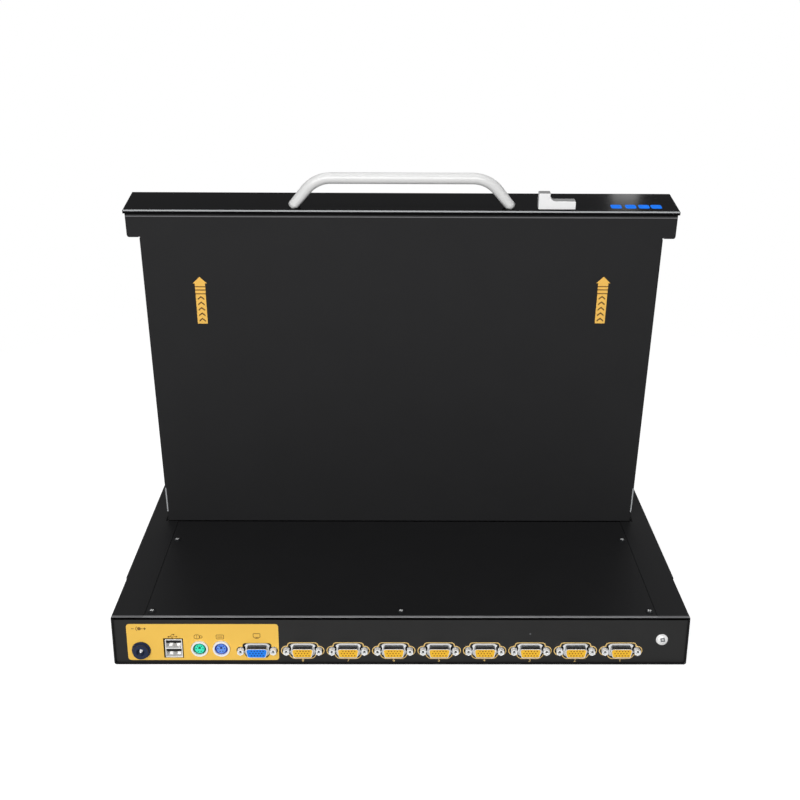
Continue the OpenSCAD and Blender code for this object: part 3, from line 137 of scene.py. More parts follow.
# %% [markdown]
# ## One recipe for surfaces
# Real surfaces are never quite even. Spraying and handling shift the colour over centimetres, and
# the grain of a coat or a mould breaks the highlight over tenths of a millimetre. Both are noise
# on Object coordinates, so their sizes are real ones and the pattern moves with its piece.

# %% One recipe for surfaces
relief_depth = 0.02
top_shade_from, top_shade_to = 0.55, 0.9
coat_roughness = 0.05


def finish(name, colour, shine, metal=0.0, mottle=0.12, mottle_mm=40.0, grain_mm=0.5, relief=0.05,
           stretch=(1, 1, 1), coat=0.0, specular=0.5, glow=0.0, worn=0.06, painted_top_shade=None):
    """A paint, plastic or metal: colour * (1 +- mottle), roughness shine +- worn, and a fine grain.

    The coarse noise mixes the colour, and the fine one the roughness and the relief. With
    `painted_top_shade`, faces that look up take that colour as painted shade, as bright metal would look
    under a dark ceiling."""
    made = bpy.data.materials.new(name)
    tree = empty_tree(made)
    spot = add(tree, "TexCoord").outputs["Object"]
    drawn = add(tree, "Mapping", {"Vector": spot, "Scale": stretch}).outputs[0]
    coarse = add(tree, "TexNoise", {"Vector": drawn, "Scale": 1000 / mottle_mm, "Detail": 4.0}).outputs[0]
    fine = add(tree, "TexNoise", {"Vector": drawn, "Scale": 1000 / grain_mm, "Detail": 3.0}).outputs[0]
    base = np.array(linear(colour)[:3])
    dark = (*(base * (1 - mottle)), 1.0)
    light = (*np.minimum(base * (1 + mottle), 1), 1.0)
    tone = add(tree, "Mix", {"Factor": coarse, 6: dark, 7: light}, data_type="RGBA").outputs[2]
    # Painted shade: faces that look up are mixed toward a darker colour.
    if painted_top_shade:
        facing = add(tree, "SeparateXYZ", {0: add(tree, "NewGeometry").outputs["Normal"]}).outputs[2]
        share = add(tree, "MapRange", {"Value": facing, "From Min": top_shade_from,
                                       "From Max": top_shade_to}).outputs[0]
        tone = add(tree, "Mix", {"Factor": share, 6: tone, 7: linear(painted_top_shade)}, data_type="RGBA").outputs[2]
    rough = add(tree, "MapRange", {"Value": fine, "To Min": max(shine - worn, 0.02),
                                   "To Max": min(shine + worn, 1.0)}).outputs[0]
    bump = add(tree, "Bump", {"Height": fine, "Strength": relief,
                              "Distance": relief_depth / 1000}).outputs[0]
    skin = add(tree, "BsdfPrincipled", {
        "Base Color": tone, "Roughness": rough, "Metallic": metal, "Normal": bump,
        "Coat Weight": coat, "Coat Roughness": coat_roughness, "Specular IOR Level": specular,
        "Emission Color": linear(colour), "Emission Strength": glow})
    add(tree, "OutputMaterial", {"Surface": skin.outputs[0]})
    return made


print("one recipe, with a relief of", relief_depth, "mm")

# %% [markdown]
# ## Coats
# The sheets are powder coated: the powder melts to a dull skin with a fine peel, which spreads
# the highlights. The bezel is polished acrylic, and the handle is enamelled. Each material starts
# from what the real one is and was then matched to the picture.

# %% Coats
# Powder coat: nearly black and dull, so the cover shows no mirror image.
black_coat = finish("powder_coated_steel", "#1f1f20", 0.50, mottle=0.10, grain_mm=0.7, relief=0.10,
                    specular=0.16)
# The lid's powder is a shade lighter and rougher, so the large sheet looks even.
lid_coat = finish("powder_coated_lid_steel", "#242425", 0.58, mottle=0.08, grain_mm=0.6, relief=0.14,
                  specular=0.22)
# Wet paint flows out smoother than powder and gives the port panel a satin look.
panel_paint = finish("satin_painted_panel", "#2a2a2a", 0.5, mottle=0.10, grain_mm=0.5, relief=0.08,
                     specular=0.3)
# Polished acrylic is smooth and mirrors the studio softly.
gloss_black = finish("polished_black_acrylic", "#0b0b0c", 0.10, mottle=0.15, mottle_mm=90, grain_mm=30,
                     relief=0.02, specular=0.055, worn=0.02)
# A fold catches the light as a grey line, which this colour paints in as a painted highlight.
painted_fold_highlight = finish("painted_fold_highlight_grey", "#6c6c6e", 0.4, mottle=0.15, mottle_mm=30)
# A polished chamfer bundles the light to a line that is nearly white; this pale colour paints that
# highlight in, on the bezel and on the lid's side folds.
painted_chamfer_highlight = finish("painted_chamfer_highlight_pale", "#b4b6b8", 0.25, mottle=0.10, mottle_mm=60,
                      relief=0.03)
# Stoved enamel is even, with a clear gloss over the white.
white_paint = finish("white_enamelled_bar", "#e2e2e1", 0.34, mottle=0.02, mottle_mm=25, grain_mm=1.5,
                     relief=0.03, coat=0.3)
# The ground screw's head is painted white, so it shows no metal.
white_screw = finish("white_painted_screw", "#fbfbfa", 0.35, mottle=0.04, mottle_mm=3, grain_mm=0.3)
print(len(bpy.data.materials), "coats")

# %% [markdown]
# ## Metals
# Bare metal shows only on the slides, the sockets and the screws. The connector shells are bright
# plated: from the camera they look white in front, and where they look up at the ceiling they are
# darkened by painted shade.

# %% Metals
# Zinc is plated on rolled sheet, whose lines show as long soft streaks.
zinc = finish("zinc_plated_steel", "#b9bcc0", 0.34, metal=1.0, mottle=0.12, mottle_mm=14, grain_mm=0.8,
              stretch=(1, 0.05, 1), relief=0.08)
# Bright nickel on a drawn shell: white in front, and painted shade makes it nearly black on top.
nickel = finish("nickel_plated_shell", "#fafcfd", 0.30, metal=0.2, mottle=0.06, mottle_mm=3,
                grain_mm=0.3, relief=0.04, painted_top_shade="#26282b")
# Satin nickel scatters more and stays white all round.
satin_nickel = finish("satin_nickel_shell", "#fcfefe", 0.38, metal=0.1, mottle=0.05, mottle_mm=4,
                      grain_mm=0.3)
# Blackened steel keeps a dark metallic sheen.
blackened = finish("blackened_screw_steel", "#2a2b2d", 0.4, metal=0.5, mottle=0.2, mottle_mm=2,
                   grain_mm=0.2, relief=0.1)
# A dimple pressed through the paint shows a little bare steel.
bare_dimple = finish("bare_steel_dimple", "#6a6c6e", 0.4, metal=0.3, mottle=0.2, mottle_mm=1,
                     grain_mm=0.2)
# A silvered pin sparkles even deep in its socket; a little glow paints that sparkle in as a painted
# highlight.
silver_with_painted_glint = finish("silver_plating_with_painted_glint", "#ffffff", 0.3, metal=0.2, mottle=0.02, mottle_mm=2,
                    grain_mm=0.3, glow=0.5)
# Turned brass is warm, with a smooth metallic gloss.
brass = finish("turned_brass", "#c9a24a", 0.3, metal=1.0, mottle=0.1, mottle_mm=3, grain_mm=0.2)
print(len(bpy.data.materials), "coats and metals")

# %% [markdown]
# ## Plastics
# Sockets are moulded in bright nylon, so that a plug finds its place by colour. Keys, deck and
# frame are ABS from moulds with a spark eroded grain, which looks matt because it scatters light.

# %% Plastics
# Smooth white ABS, with painted shade darkening the faces that look up at the ceiling.
white_plastic = finish("moulded_white_abs", "#f6f6f6", 0.38, mottle=0.04, grain_mm=0.4, relief=0.06,
                       painted_top_shade="#8e8e8e")
# Nylon: strong even colours with a waxy half shine.
navy = finish("moulded_navy_nylon", "#1d2a48", 0.4, mottle_mm=5, grain_mm=0.3)
tongue_black = finish("moulded_black_nylon", "#15181a", 0.5, mottle=0.1, mottle_mm=4, grain_mm=0.3)
mint = finish("moulded_mint_nylon", "#40fad0", 0.4, mottle=0.08, mottle_mm=3, grain_mm=0.25)
socket_blue = finish("moulded_blue_nylon", "#6a9cf8", 0.4, mottle=0.1, mottle_mm=3, grain_mm=0.25)
video_blue = finish("moulded_bright_blue_nylon", "#1c86f8", 0.42, mottle=0.08, mottle_mm=3,
                    grain_mm=0.25)
video_amber = finish("moulded_amber_nylon", "#ffc434", 0.42, mottle=0.08, mottle_mm=3, grain_mm=0.25)
# Solder mask is a green varnish, which lies uneven over the copper tracks.
board_green = finish("solder_masked_board", "#1d5a35", 0.35, mottle=0.35, mottle_mm=4, grain_mm=0.8,
                     relief=0.3)
# Grained ABS: coarse on the deck, finer on keys and buttons.
deck_abs = finish("spark_textured_black_abs", "#232325", 0.55, mottle=0.1, grain_mm=0.45, relief=0.5)
frame_abs = finish("textured_black_frame_abs", "#161617", 0.5, mottle=0.08, relief=0.35)
key_abs = finish("moulded_black_key_abs", "#232427", 0.5, mottle=0.1, mottle_mm=8, grain_mm=0.3,
                 relief=0.25)
key_grey = finish("moulded_grey_key_abs", "#33353a", 0.5, mottle=0.1, mottle_mm=8, grain_mm=0.3,
                  relief=0.25)
button_abs = finish("moulded_grey_button_abs", "#3d3f44", 0.45, mottle=0.08, mottle_mm=8,
                    grain_mm=0.3, relief=0.2)
# Silicone rubber is dull and slightly cloudy.
silicone = finish("silicone_key_mat", "#b9b3a4", 0.6, mottle=0.08, mottle_mm=10)
# The screen is off: a deep black film under a clear hard coat.
screen_film = finish("screen_polariser_film", "#07080a", 0.16, mottle=0.25, mottle_mm=120, grain_mm=3,
                     relief=0.01, coat=0.3)
print(len(bpy.data.materials), "with the plastics")

# %% [markdown]
# ## Prints, lamps and gaps
# Screen printing ink dries flat and half matt. A window that is lit from behind glows by itself.
# Narrow gaps and deep holes look dark, because hardly any light comes back out of them, and their shade
# is painted in black.

# %% Prints, lamps and gaps
# The film is printed from behind and so has a light gloss over its colour.
label_film = finish("printed_amber_film", "#fcca58", 0.42, mottle=0.05, mottle_mm=30, grain_mm=0.4,
                    coat=0.2)
# Screen printing inks: opaque, half matt, without relief that one could see.
ink_gold = finish("gold_screen_print", "#e8c47c", 0.5, mottle=0.08, mottle_mm=2, grain_mm=0.15)
ink_amber = finish("amber_screen_print", "#ffc65c", 0.5, mottle=0.06, mottle_mm=3, grain_mm=0.15)
ink_umber = finish("umber_screen_print", "#5e3f16", 0.6, mottle=0.1, mottle_mm=2, grain_mm=0.15)
ink_brown = finish("brown_screen_print", "#8a6428", 0.6, mottle=0.1, mottle_mm=2, grain_mm=0.15)
ink_white = finish("white_key_print", "#d9dadb", 0.5, mottle=0.06, mottle_mm=2, grain_mm=0.15)
# A lamp behind smoked acrylic: uneven, as the light is brightest before its diode.
blue_lamp = finish("lit_blue_window", "#0064d0", 0.4, mottle=0.3, mottle_mm=4, glow=0.6, specular=0.05)
# A clear green lens, not lit.
lamp_green = finish("green_lamp_lens", "#2f8f4a", 0.2, mottle=0.15, mottle_mm=2, grain_mm=0.3, coat=0.5)
# In a pin hole the nylon keeps its hue and loses its light.
amber_hole = finish("pin_hole_shadow", "#a8680c", 0.7, mottle=0.3, mottle_mm=1, grain_mm=0.2)
blue_hole = finish("blue_pin_hole_shadow", "#0a3a90", 0.7, mottle=0.3, mottle_mm=1, grain_mm=0.2)
# Painted shade: a black that reflects nothing, laid where only shadow falls in gaps and recesses.
painted_shade_black = finish("painted_shade_matt_black", "#040404", 0.9, mottle=0.3, mottle_mm=3, specular=0.0)
print(len(bpy.data.materials), "materials so far")

# %% [markdown]
# ## The CAD nodes
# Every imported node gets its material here. Its mesh stays as it came.

# %% Dress the CAD nodes
by_material = [
    (black_coat, "chassis_pan top_cover rack_bracket_left rack_bracket_right drawer_tray"),
    (panel_paint, "rear_panel"),
    (lid_coat, "lid_shell"),
    (gloss_black, "front_bezel"),
    (white_paint, "handle"),
    (white_plastic, "latch"),
    (zinc, "slide_outer_left slide_outer_right slide_middle_left slide_middle_right slide_inner_left "
           "slide_inner_right bulkhead key_plate hinge_bracket_left hinge_bracket_right hinge_leaf_left "
           "hinge_leaf_right bezel_screws"),
    (nickel, "vga_shells"),
    (satin_nickel, "usb_shell socket_shields jackscrews"),
    (blackened, "cover_screws bracket_screws"),
    (white_screw, "ground_screw"),
    (brass, "board_standoffs outer_ball_cages inner_ball_cages"),
    (board_green, "switch_board driver_board"),
    (navy, "dc_jack"),
    (tongue_black, "usb_tongues"),
    (mint, "mouse_socket"),
    (socket_blue, "keyboard_socket"),
    (video_blue, "console_vga_insert"),
    (video_amber, "port_vga_inserts"),
    (deck_abs, "keyboard_deck"),
    (silicone, "key_membrane"),
    (key_abs, "number_keys letter_keys space_bar number_pad_keys"),
    (key_grey, "function_keys modifier_keys"),
    (button_abs, "touchpad touch_button_left touch_button_right port_up_button port_down_button "
                 "power_button menu_button plus_button minus_button"),
    (frame_abs, "screen_frame"),
    (screen_film, "lcd_panel"),
]
for material, names in by_material:
    for name in names.split():
        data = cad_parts[name].data
        data.materials.clear()
        data.materials.append(material)
print("dressed", sum(len(names.split()) for _, names in by_material), "nodes")

# %% [markdown]
# ## Rounded edges
# A moulded or drawn edge is never sharp, and it is the edge that catches the light. The triangles
# of a CAD mesh do not share their corners, so a Weld joins them before the Bevel can see an edge.
# Only keys, buttons, latch, connector shells and jackscrews are rounded so. The large sheets have
# strips of painted highlight instead, further down.

# %% Rounded edges
bevel_widths = [
    (0.6, "number_keys letter_keys space_bar number_pad_keys function_keys modifier_keys"),
    (0.5, "latch"),
    (0.4, "touch_button_left touch_button_right port_up_button port_down_button"),
    (0.35, "jackscrews"),
    (0.12, "vga_shells usb_shell"),
]
for width, names in bevel_widths:
    for name in names.split():
        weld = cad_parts[name].modifiers.new("weld", "WELD")
        weld.merge_threshold = 1e-6
        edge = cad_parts[name].modifiers.new("edge", "BEVEL")
        edge.width = width / 1000
        edge.segments = 2
        edge.limit_method = "ANGLE"
        edge.angle_limit = math.radians(50)
        edge.harden_normals = True
print("rounded", sum(len(names.split()) for _, names in bevel_widths), "nodes")

# %% [markdown]
# ## Making a mesh
# A new piece is worked out as arrays of points and faces. One function turns them to metres,
# makes the mesh and hangs it on the body that it moves with. The object stays at the origin, so
# a pattern on Object coordinates keeps its real size.

# %% Making a mesh
def mesh(name, points, faces, body, material, smooth=False, stands_for=()):
    """A visible piece from points in mm and faces, riding on a CAD body."""
    data = bpy.data.meshes.new(name)
    metres = np.asarray(points, float).reshape(-1, 3) / 1000
    data.from_pydata(metres.tolist(), [], [tuple(face) for face in faces])
    data.update()
    if smooth:
        data.shade_smooth()
    data.materials.append(material)
    made = bpy.data.objects.new(name, data)
    bpy.context.scene.collection.objects.link(made)
    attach(made, body)
    if stands_for:
        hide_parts(*stands_for)
    return made


def joined(parts):
    """Several (points, faces) as one, with the numbers in the faces moved along."""
    points, faces, start = [], [], 0
    for part_points, part_faces in parts:
        part_points = np.asarray(part_points, float).reshape(-1, 3)
        points.append(part_points)
        faces += [(np.asarray(face) + start).tolist() for face in part_faces]
        start += len(part_points)
    return np.concatenate(points), faces


def band(one, two):
    """A band between two rails with as many points each: a quad from each pair to the next pair."""
    count = len(one)
    i = np.arange(count - 1)
    return np.concatenate([one, two]), np.column_stack([i, i + count, i + count + 1, i + 1])


print("the mesh helpers are ready")

# %% [markdown]
# ## Lines on the lid
# From afar a polished chamfer or a fold is one bright line of reflected light, and the foot of the lid a
# dark line of shade. Strips laid on the edges paint these highlights and this shade in, with their place
# and width, which a bevel on thin sheet can't.

# %% Lines on the lid
line_lift = 0.03


def lid_line(name, left, right, low, high, n, material):
    """A flat strip on the lid from X left to right and from s low to high, at height n."""
    rails = [on_lid([x, x], np.array([low, high]), n) for x in (right, left)]
    return mesh(name, *band(*rails), "lid", material)


# Painted highlights on the bezel chamfer and the lid's folds, and a painted shadow at the lid's foot.
lid_line("bezel_edge_painted_highlight", -214.4, 214.4, bezel_face - 1.25, bezel_face - 0.05, 9.74, painted_chamfer_highlight)
lid_line("lid_fold_painted_highlight", -213.8, 213.8, 291.6, 292.4, lid_back + line_lift, painted_fold_highlight)
lid_line("lid_lower_shadow_line", -203.6, 203.6, 6.6, 9.0, lid_back + 0.02, painted_shade_black)
for side, x in (("right", 203.7), ("left", -203.7)):
    lid_line("lid_side_painted_highlight_" + side, x - 0.5, x + 0.5, 18.5, 43.0, lid_back + line_lift, painted_chamfer_highlight)
print("five lines on the lid")

# %% [markdown]
# ## Lines on the chassis
# The cover bends down over the port panel in a quarter circle of 1.8 mm, and each side wall ends
# beside it in a square corner. Both catch the light, which grey strips paint in as painted highlights.
# Below, the lip leaves a shadow, painted as black strips, once on its own lower edge and once on the
# panel that lies behind it.

# %% Lines on the chassis
fold_r = 1.8
fold_z = 40.3
fold_half = 219.4
turn = np.radians(np.linspace(25, 76, 8))
fold = np.stack([0 * turn, panel_y + (fold_r + line_lift) * np.cos(turn),
                 fold_z + (fold_r + line_lift) * np.sin(turn)], -1)
rails = [fold + [fold_half, 0, 0], fold - [fold_half, 0, 0]]
# Painted highlight: a grey strip along the cover's fold.
mesh("chassis_fold_painted_highlight", *band(*rails), "chassis", painted_fold_highlight)

wall_half = 11.9
wall_edge = np.array([[0, fold_r + line_lift, 41.1], [0, fold_r + line_lift, 42.13], [0, 0.5, 42.13]])
# Painted highlight: a grey strip along the end of each side wall.
for side, x in (("right", 207.5), ("left", -207.5)):
    rails = [wall_edge + [end, panel_y, 0] for end in (x + wall_half, x - wall_half)]
    mesh("wall_edge_painted_highlight_" + side, *band(*rails), "chassis", painted_fold_highlight)

shadow_half = 219.0
# Painted shade: black strips under the lip and on the panel behind it.
for name, low, high, out in (("lip_shadow_line", 39.75, 41.04, fold_r + line_lift),
                             ("panel_shadow_line", 38.1, 39.2, 0.04)):
    rails = [on_panel([x, x], np.array([low, high]), out) for x in (shadow_half, -shadow_half)]
    mesh(name, *band(*rails), "chassis", painted_shade_black)
print("three bright edges and two shadow lines on the chassis")

# %% [markdown]
# ## Handle
# The real handle is one bar, bent twice and enamelled. Each leg leans 38 degrees inward, then
# come a bend of 25 mm radius and the straight grip. The path is drawn first and a circle is
# carried along it, so the bends are round where the CAD node has facets. The bar stands for that
# node, and its feet are pressed flat just above the bezel.

# %% Handle
def tube_faces(rows, count):
    """Faces between closed rings of points: a quad from each stretch of a ring to the next ring."""
    index = np.arange(rows * count).reshape(rows, count)
    after = np.roll(index, -1, 1)
    return np.stack([index[:-1], after[:-1], after[1:], index[1:]], -1).reshape(-1, 4)


def bar_along(path, radius, count=32):
    """A round bar: round each path point a ring radius * (cos t * side + sin t * up), with closed ends.

    Side is square to the path and to the lid's normal, and up is square to side and path."""
    along = np.gradient(path, axis=0)
    along /= np.linalg.norm(along, axis=1)[:, None]
    side = np.cross(along, lid_out)
    side /= np.linalg.norm(side, axis=1)[:, None]
    up = np.cross(side, along)
    t = (np.arange(count) * 2 * math.pi / count)[None, :, None]
    points = path[:, None] + radius * (np.cos(t) * side[:, None] + np.sin(t) * up[:, None])
    first = np.arange(count)[::-1]
    last = np.arange(count) + (len(path) - 1) * count
    return points.reshape(-1, 3), [*tube_faces(len(path), count), first, last]


rise, span, bend, bar_r, bar_n = 23.0, 169.2, 25.0, 4.35, 1.5
tilt = math.radians(38)
tangent = bend * math.tan((math.pi / 2 - tilt) / 2)
straight = span / 2 - rise * math.tan(tilt) - tangent
t = np.linspace(tilt, math.pi / 2, 24)
arc = np.column_stack([straight + bend * np.cos(t), rise - bend + bend * np.sin(t)])
foot = [[span / 2, 0], [span / 2 - 2 * math.tan(tilt), 2]]
half = np.concatenate([foot, arc, [[straight / 2, rise]]])
bar = np.concatenate([half, (half * [-1, 1])[::-1]])
points, faces = bar_along(on_lid(bar[:, 0], bezel_face + bar[:, 1], bar_n), bar_r)
height = (points - pivot) @ lid_up
seat = bezel_face + 0.05
points += np.where(height < seat, seat - height, 0)[:, None] * lid_up
mesh("pull_handle", points, faces, "lid", white_paint, smooth=True, stands_for=["handle"])
print("handle bar of", len(points), "points")

# %% [markdown]
# ## Flat shapes
# Prints and labels are outlines, filled to a very thin plate. A Blender curve fills an outline
# and leaves out its holes by itself, so each shape is given as outlines and taken back as points
# and faces. A print lies a few hundredths of a millimetre over its sheet.

# %% Flat shapes
print_lift = 0.04


def ring_of(cx, cy, r, count=48):
    """A circle as an outline: centre + r * (cos t, sin t)."""
    t = np.arange(count) * 2 * math.pi / count
    return np.column_stack([cx + r * np.cos(t), cy + r * np.sin(t)])


def rounded(x0, x1, y0, y1, r, count=8):
    """A rectangle with round corners as an outline: four quarter circles, one after the other."""
    t = np.arange(count + 1) * math.pi / 2 / count
    corners = [(x1 - r, y1 - r, 0), (x0 + r, y1 - r, 1), (x0 + r, y0 + r, 2), (x1 - r, y0 + r, 3)]
    return np.concatenate([
        np.column_stack([x + r * np.cos(t + q * math.pi / 2), y + r * np.sin(t + q * math.pi / 2)])
        for x, y, q in corners])


def taken(curve):
    """The mesh of a curve as (points, faces); the curve itself is removed."""
    holder = bpy.data.objects.new("holder", curve)
    data = holder.to_mesh()
    points = np.zeros(len(data.vertices) * 3)
    data.vertices.foreach_get("co", points)
    faces = [tuple(face.vertices) for face in data.polygons]
    holder.to_mesh_clear()
    bpy.data.objects.remove(holder)
    bpy.data.curves.remove(curve)
    return points.reshape(-1, 3), faces


def filled(loops, thickness=0.05):
    """A flat plate, as (points, faces), from closed outlines, the inner ones being holes."""
    curve = bpy.data.curves.new("outline", "CURVE")
    curve.dimensions = "2D"
    curve.fill_mode = "BOTH"
    curve.extrude = thickness / 2
    for loop in loops:
        spline = curve.splines.new("POLY")
        spline.points.add(len(loop) - 1)
        flat = np.column_stack([np.asarray(loop, float), np.zeros(len(loop)), np.ones(len(loop))])
        spline.points.foreach_set("co", flat.ravel())
        spline.use_cyclic_u = True
    return taken(curve)


print("prints lie", print_lift, "mm over their sheet")

# %% [markdown]
# ## Printed marks on the lid
# Two amber arrows on the lid's back show which way to lift it: a head, two bars, and a box with
# five chevrons. A brown ground shows between the bars. The left arrow sits a little higher.

# %% Printed marks on the lid
def lid_print(name, loops, x, material, lift=0.05):
    """Outlines in (across, s), printed on the lid's back round x and read from behind."""
    points, faces = filled(loops, 0.06)
    placed = on_lid(x - points[:, 0], points[:, 1], lid_back + lift + points[:, 2])
    return mesh(name, placed, faces, "lid", material)


head = np.array([[0, 241.6], [5.6, 236.0], [4.0, 236.0], [4.1, 233.6], [-4.1, 233.6], [-4.0, 236.0],
                 [-5.6, 236.0]])
bars = [rounded(-4.1, 4.1, 230.8, 232.6, 0.2), rounded(-4.1, 4.1, 227.5, 229.7, 0.2)]
box = rounded(-4.0, 4.0, 200.8, 226.5, 0.6)
arrow_ground = rounded(-4.0, 4.0, 226.0, 234.0, 0.2)
chevron = np.array([[-2.6, 0], [0, 2.2], [2.6, 0], [2.6, 1.3], [0, 3.5], [-2.6, 1.3]])
chevron_feet = (202.4, 207.2, 212.0, 216.8, 221.6)
for side, x, raised in (("right", 160.0, 0.0), ("left", -160.7, 1.2)):
    up = [0, raised]
    arrow = [shape + up for shape in (head, *bars, box)]
    chevrons = [chevron + [0, foot + raised] for foot in chevron_feet]
    lid_print("lift_arrow_ground_" + side, [arrow_ground + up], x, ink_brown)
    lid_print("lift_arrow_" + side, arrow, x, ink_amber, lift=0.12)
    lid_print("lift_chevrons_" + side, chevrons, x, ink_umber, lift=0.19)
print("two arrows with", len(chevron_feet), "chevrons each")

# %% [markdown]
# ## Lit windows in the bezel
# Four small windows glow blue in the bezel's upper face. They are flush with the acrylic, so
# each one is a thin plate just above it.

# %% Lit windows in the bezel
window_x = (-166.8, -178.1, -188.4, -198.0)
points, faces = filled([rounded(x - 4.2, x + 4.2, -4.8, 3.4, 1.8) for x in window_x], 0.08)
windows = on_lid(points[:, 0], bezel_face + 0.06 + points[:, 2], points[:, 1])
mesh("bezel_windows", windows, faces, "lid", blue_lamp)
print(len(window_x), "windows in the bezel")

# %% [markdown]
# ## Outlines of the computer ports
# Eight video connectors stand in a row at an even pitch. Each has a gold line round it: a D with
# leaning sides, grown together with a lobe round either screw. Such a joined shape has no simple
# formula, so the line is searched for along rays from its centre.

# %% Outlines of the computer ports
port_pitch = 34.93
console_x = 110.3
port_x = [console_x - port_pitch * k for k in range(1, 9)]
port_z = 11.4
screw_x = 12.5
lobe_r = 4.2
d_half_x, d_half_z, d_round = 10.9, 7.3, 3.6
d_slope = math.radians(12)


def port_outline(grow):
    """The line round a port, found on 160 rays by halving the stretch that it must cross.

    A point is inside where the lesser of two distances is below `grow`: the distance to the lobe,
    a circle round the screw, and to the D, a box with leaning sides and round corners."""
    angle = np.linspace(0, 2 * math.pi, 160, endpoint=False)
    way = np.column_stack([np.cos(angle), np.sin(angle)])
    low, high = np.zeros(len(angle)), np.full(len(angle), 25.0)
    for _ in range(24):
        middle = (low + high) / 2
        x, z = np.abs(way[:, 0]) * middle, way[:, 1] * middle
        lobe = np.hypot(x - screw_x, z) - lobe_r
        across = x * math.cos(d_slope) - z * math.sin(d_slope) - d_half_x
        past = np.column_stack([across, np.abs(z) - d_half_z]) + d_round
        d_shape = np.hypot(*np.maximum(past, 0).T) + np.minimum(past.max(1), 0) - d_round
        inside = np.minimum(lobe, d_shape) < grow
        low, high = np.where(inside, middle, low), np.where(inside, high, middle)
    return way * low[:, None]


points, faces = filled([port_outline(0.0), port_outline(-0.75)])
parts = [(on_panel(x + points[:, 0], port_z - 0.2 + points[:, 1], print_lift + points[:, 2]), faces)
         for x in port_x]
mesh("port_outlines", *joined(parts), "chassis", ink_gold)
print("outlines of", len(port_x), "ports")

# %% [markdown]
# ## Port numbers
# The ports are numbered from right to left as seen from behind, below their outlines, in
# Blender's own font.

# %% Port numbers
def lettering(text, height):
    """A word in Blender's own font as (points, faces), centred on the origin, with capitals this high."""
    curve = bpy.data.curves.new("text", "FONT")
    curve.body = text
    curve.size = height / 0.7
    curve.extrude = 0.03
    curve.align_x = "CENTER"
    curve.align_y = "CENTER"
    curve.resolution_u = 3
    return taken(curve)


number_z = 2.6
parts = []
for k, x in enumerate(port_x):
    points, faces = lettering(str(8 - k), 2.7)
    parts.append((on_panel(x - points[:, 0], number_z + points[:, 1], print_lift + points[:, 2]), faces))
mesh("port_numbers", *joined(parts), "chassis", ink_gold)
print(len(parts), "port numbers")

# %% [markdown]
# ## Shade in the cut-outs
# The panel's cut-outs reach round the screws, and the connector's flange lies in their depth. So
# little light gets there that it looks black, which a dark plate on the flange stands for.

# %% Shade in the cut-outs
shade_ring = ring_of(0, 0, 3.65, 40)
shade_inner = 10.5
parts = []
for x in (console_x, *port_x):
    for side in (-1, 1):
        across = np.maximum(screw_x + shade_ring[:, 0], shade_inner)
        rim = np.column_stack([x + side * across, port_z + shade_ring[:, 1]])
        points, faces = filled([rim], 0.04)
        parts.append((on_panel(points[:, 0], points[:, 1], points[:, 2] - 1.14), faces))
# The dark plates are painted shade in the screw lobes.
mesh("port_lobe_painted_shade", *joined(parts), "chassis", painted_shade_black)
print(len(parts), "shaded lobes")

# %% [markdown]
# ## Label film
# An amber film is glued over one end of the panel, with a hole for each local socket: power,
# data, mouse, keyboard and the console's own video.

# %% Label film
dc_x, usb_x, mouse_x, keyboard_x = 199.0, 173.9, 154.2, 137.6
dc_z, din_z = 11.6, 13.2
film = [rounded(93.6, 209.4, 2.8, 34.5, 2.5),
        ring_of(dc_x, dc_z, 7.3),
        rounded(usb_x - 7.2, usb_x + 7.9, 4.9, 22.0, 0.3),
        ring_of(mouse_x, din_z, 6.7),
        ring_of(keyboard_x, din_z, 6.7),
        port_outline(-0.9) + [console_x, port_z]]
points, faces = filled(film, 0.08)
label = on_panel(points[:, 0], points[:, 1], 0.05 + points[:, 2])
mesh("socket_label", label, faces, "chassis", label_film)
print("a film with", len(film) - 1, "holes")

# %% [markdown]
# ## Drawings on the film
# Small line drawings say what each socket is for: the polarity of the power plug, the forked data
# line, a mouse, a keyboard and a screen. A drawn line is a row of thin rectangles, one for each
# stretch, so it needs no curve tools and keeps its exact width.

# %% Drawings on the film
def closed(loop):
    """An outline with its first point repeated at the end, to be drawn as a line."""
    return np.vstack([loop, loop[:1]])


def drawn_line(points, width):
    """A drawn line as outlines: for each stretch a to b, the rectangle a + side to b - side.

    Side is square to the stretch and half the width long."""
    points = np.asarray(points, float)
    a, b = points[:-1], points[1:]
    side = np.column_stack([a[:, 1] - b[:, 1], b[:, 0] - a[:, 0]])
    side *= (width / 2 / np.hypot(*side.T))[:, None]
    return np.stack([a + side, b + side, b - side, a - side], 1)


t = np.linspace(math.radians(-60), math.radians(60), 16)
polarity = [([[6.6, 30.4], [4.6, 30.4]], 0.5), ([[-0.6, 30.4], [-2.2, 30.4]], 0.5),
            ([[-2.6, 30.4], [-4.6, 30.4]], 0.6), ([[-3.6, 29.4], [-3.6, 31.4]], 0.6),
            (np.column_stack([0.9 + 2.2 * np.cos(t), 30.4 + 2.0 * np.sin(t)]), 0.45)]
data_line = [([[3.6, 23.3], [-2.2, 23.4]], 0.45),
             ([[2.6, 23.3], [1.2, 25.2], [0, 25.2]], 0.4),
             ([[1.4, 23.3], [0.2, 21.6], [-1.2, 21.6]], 0.4)]
mouse = [(closed(rounded(-0.5, 3.9, 21.5, 25.1, 1.7)), 0.45),
         ([[1.8, 24.8], [1.8, 21.8]], 0.35),
         (closed(ring_of(-1.2, 23.3, 1.1, 16)), 0.45)]
keyboard = [(closed(rounded(-2.1, 3.6, 21.5, 25.0, 0.5)), 0.45),
            ([[-1.2, 23.9], [2.7, 23.9]], 0.35),
            ([[-1.2, 22.7], [2.7, 22.7]], 0.35)]
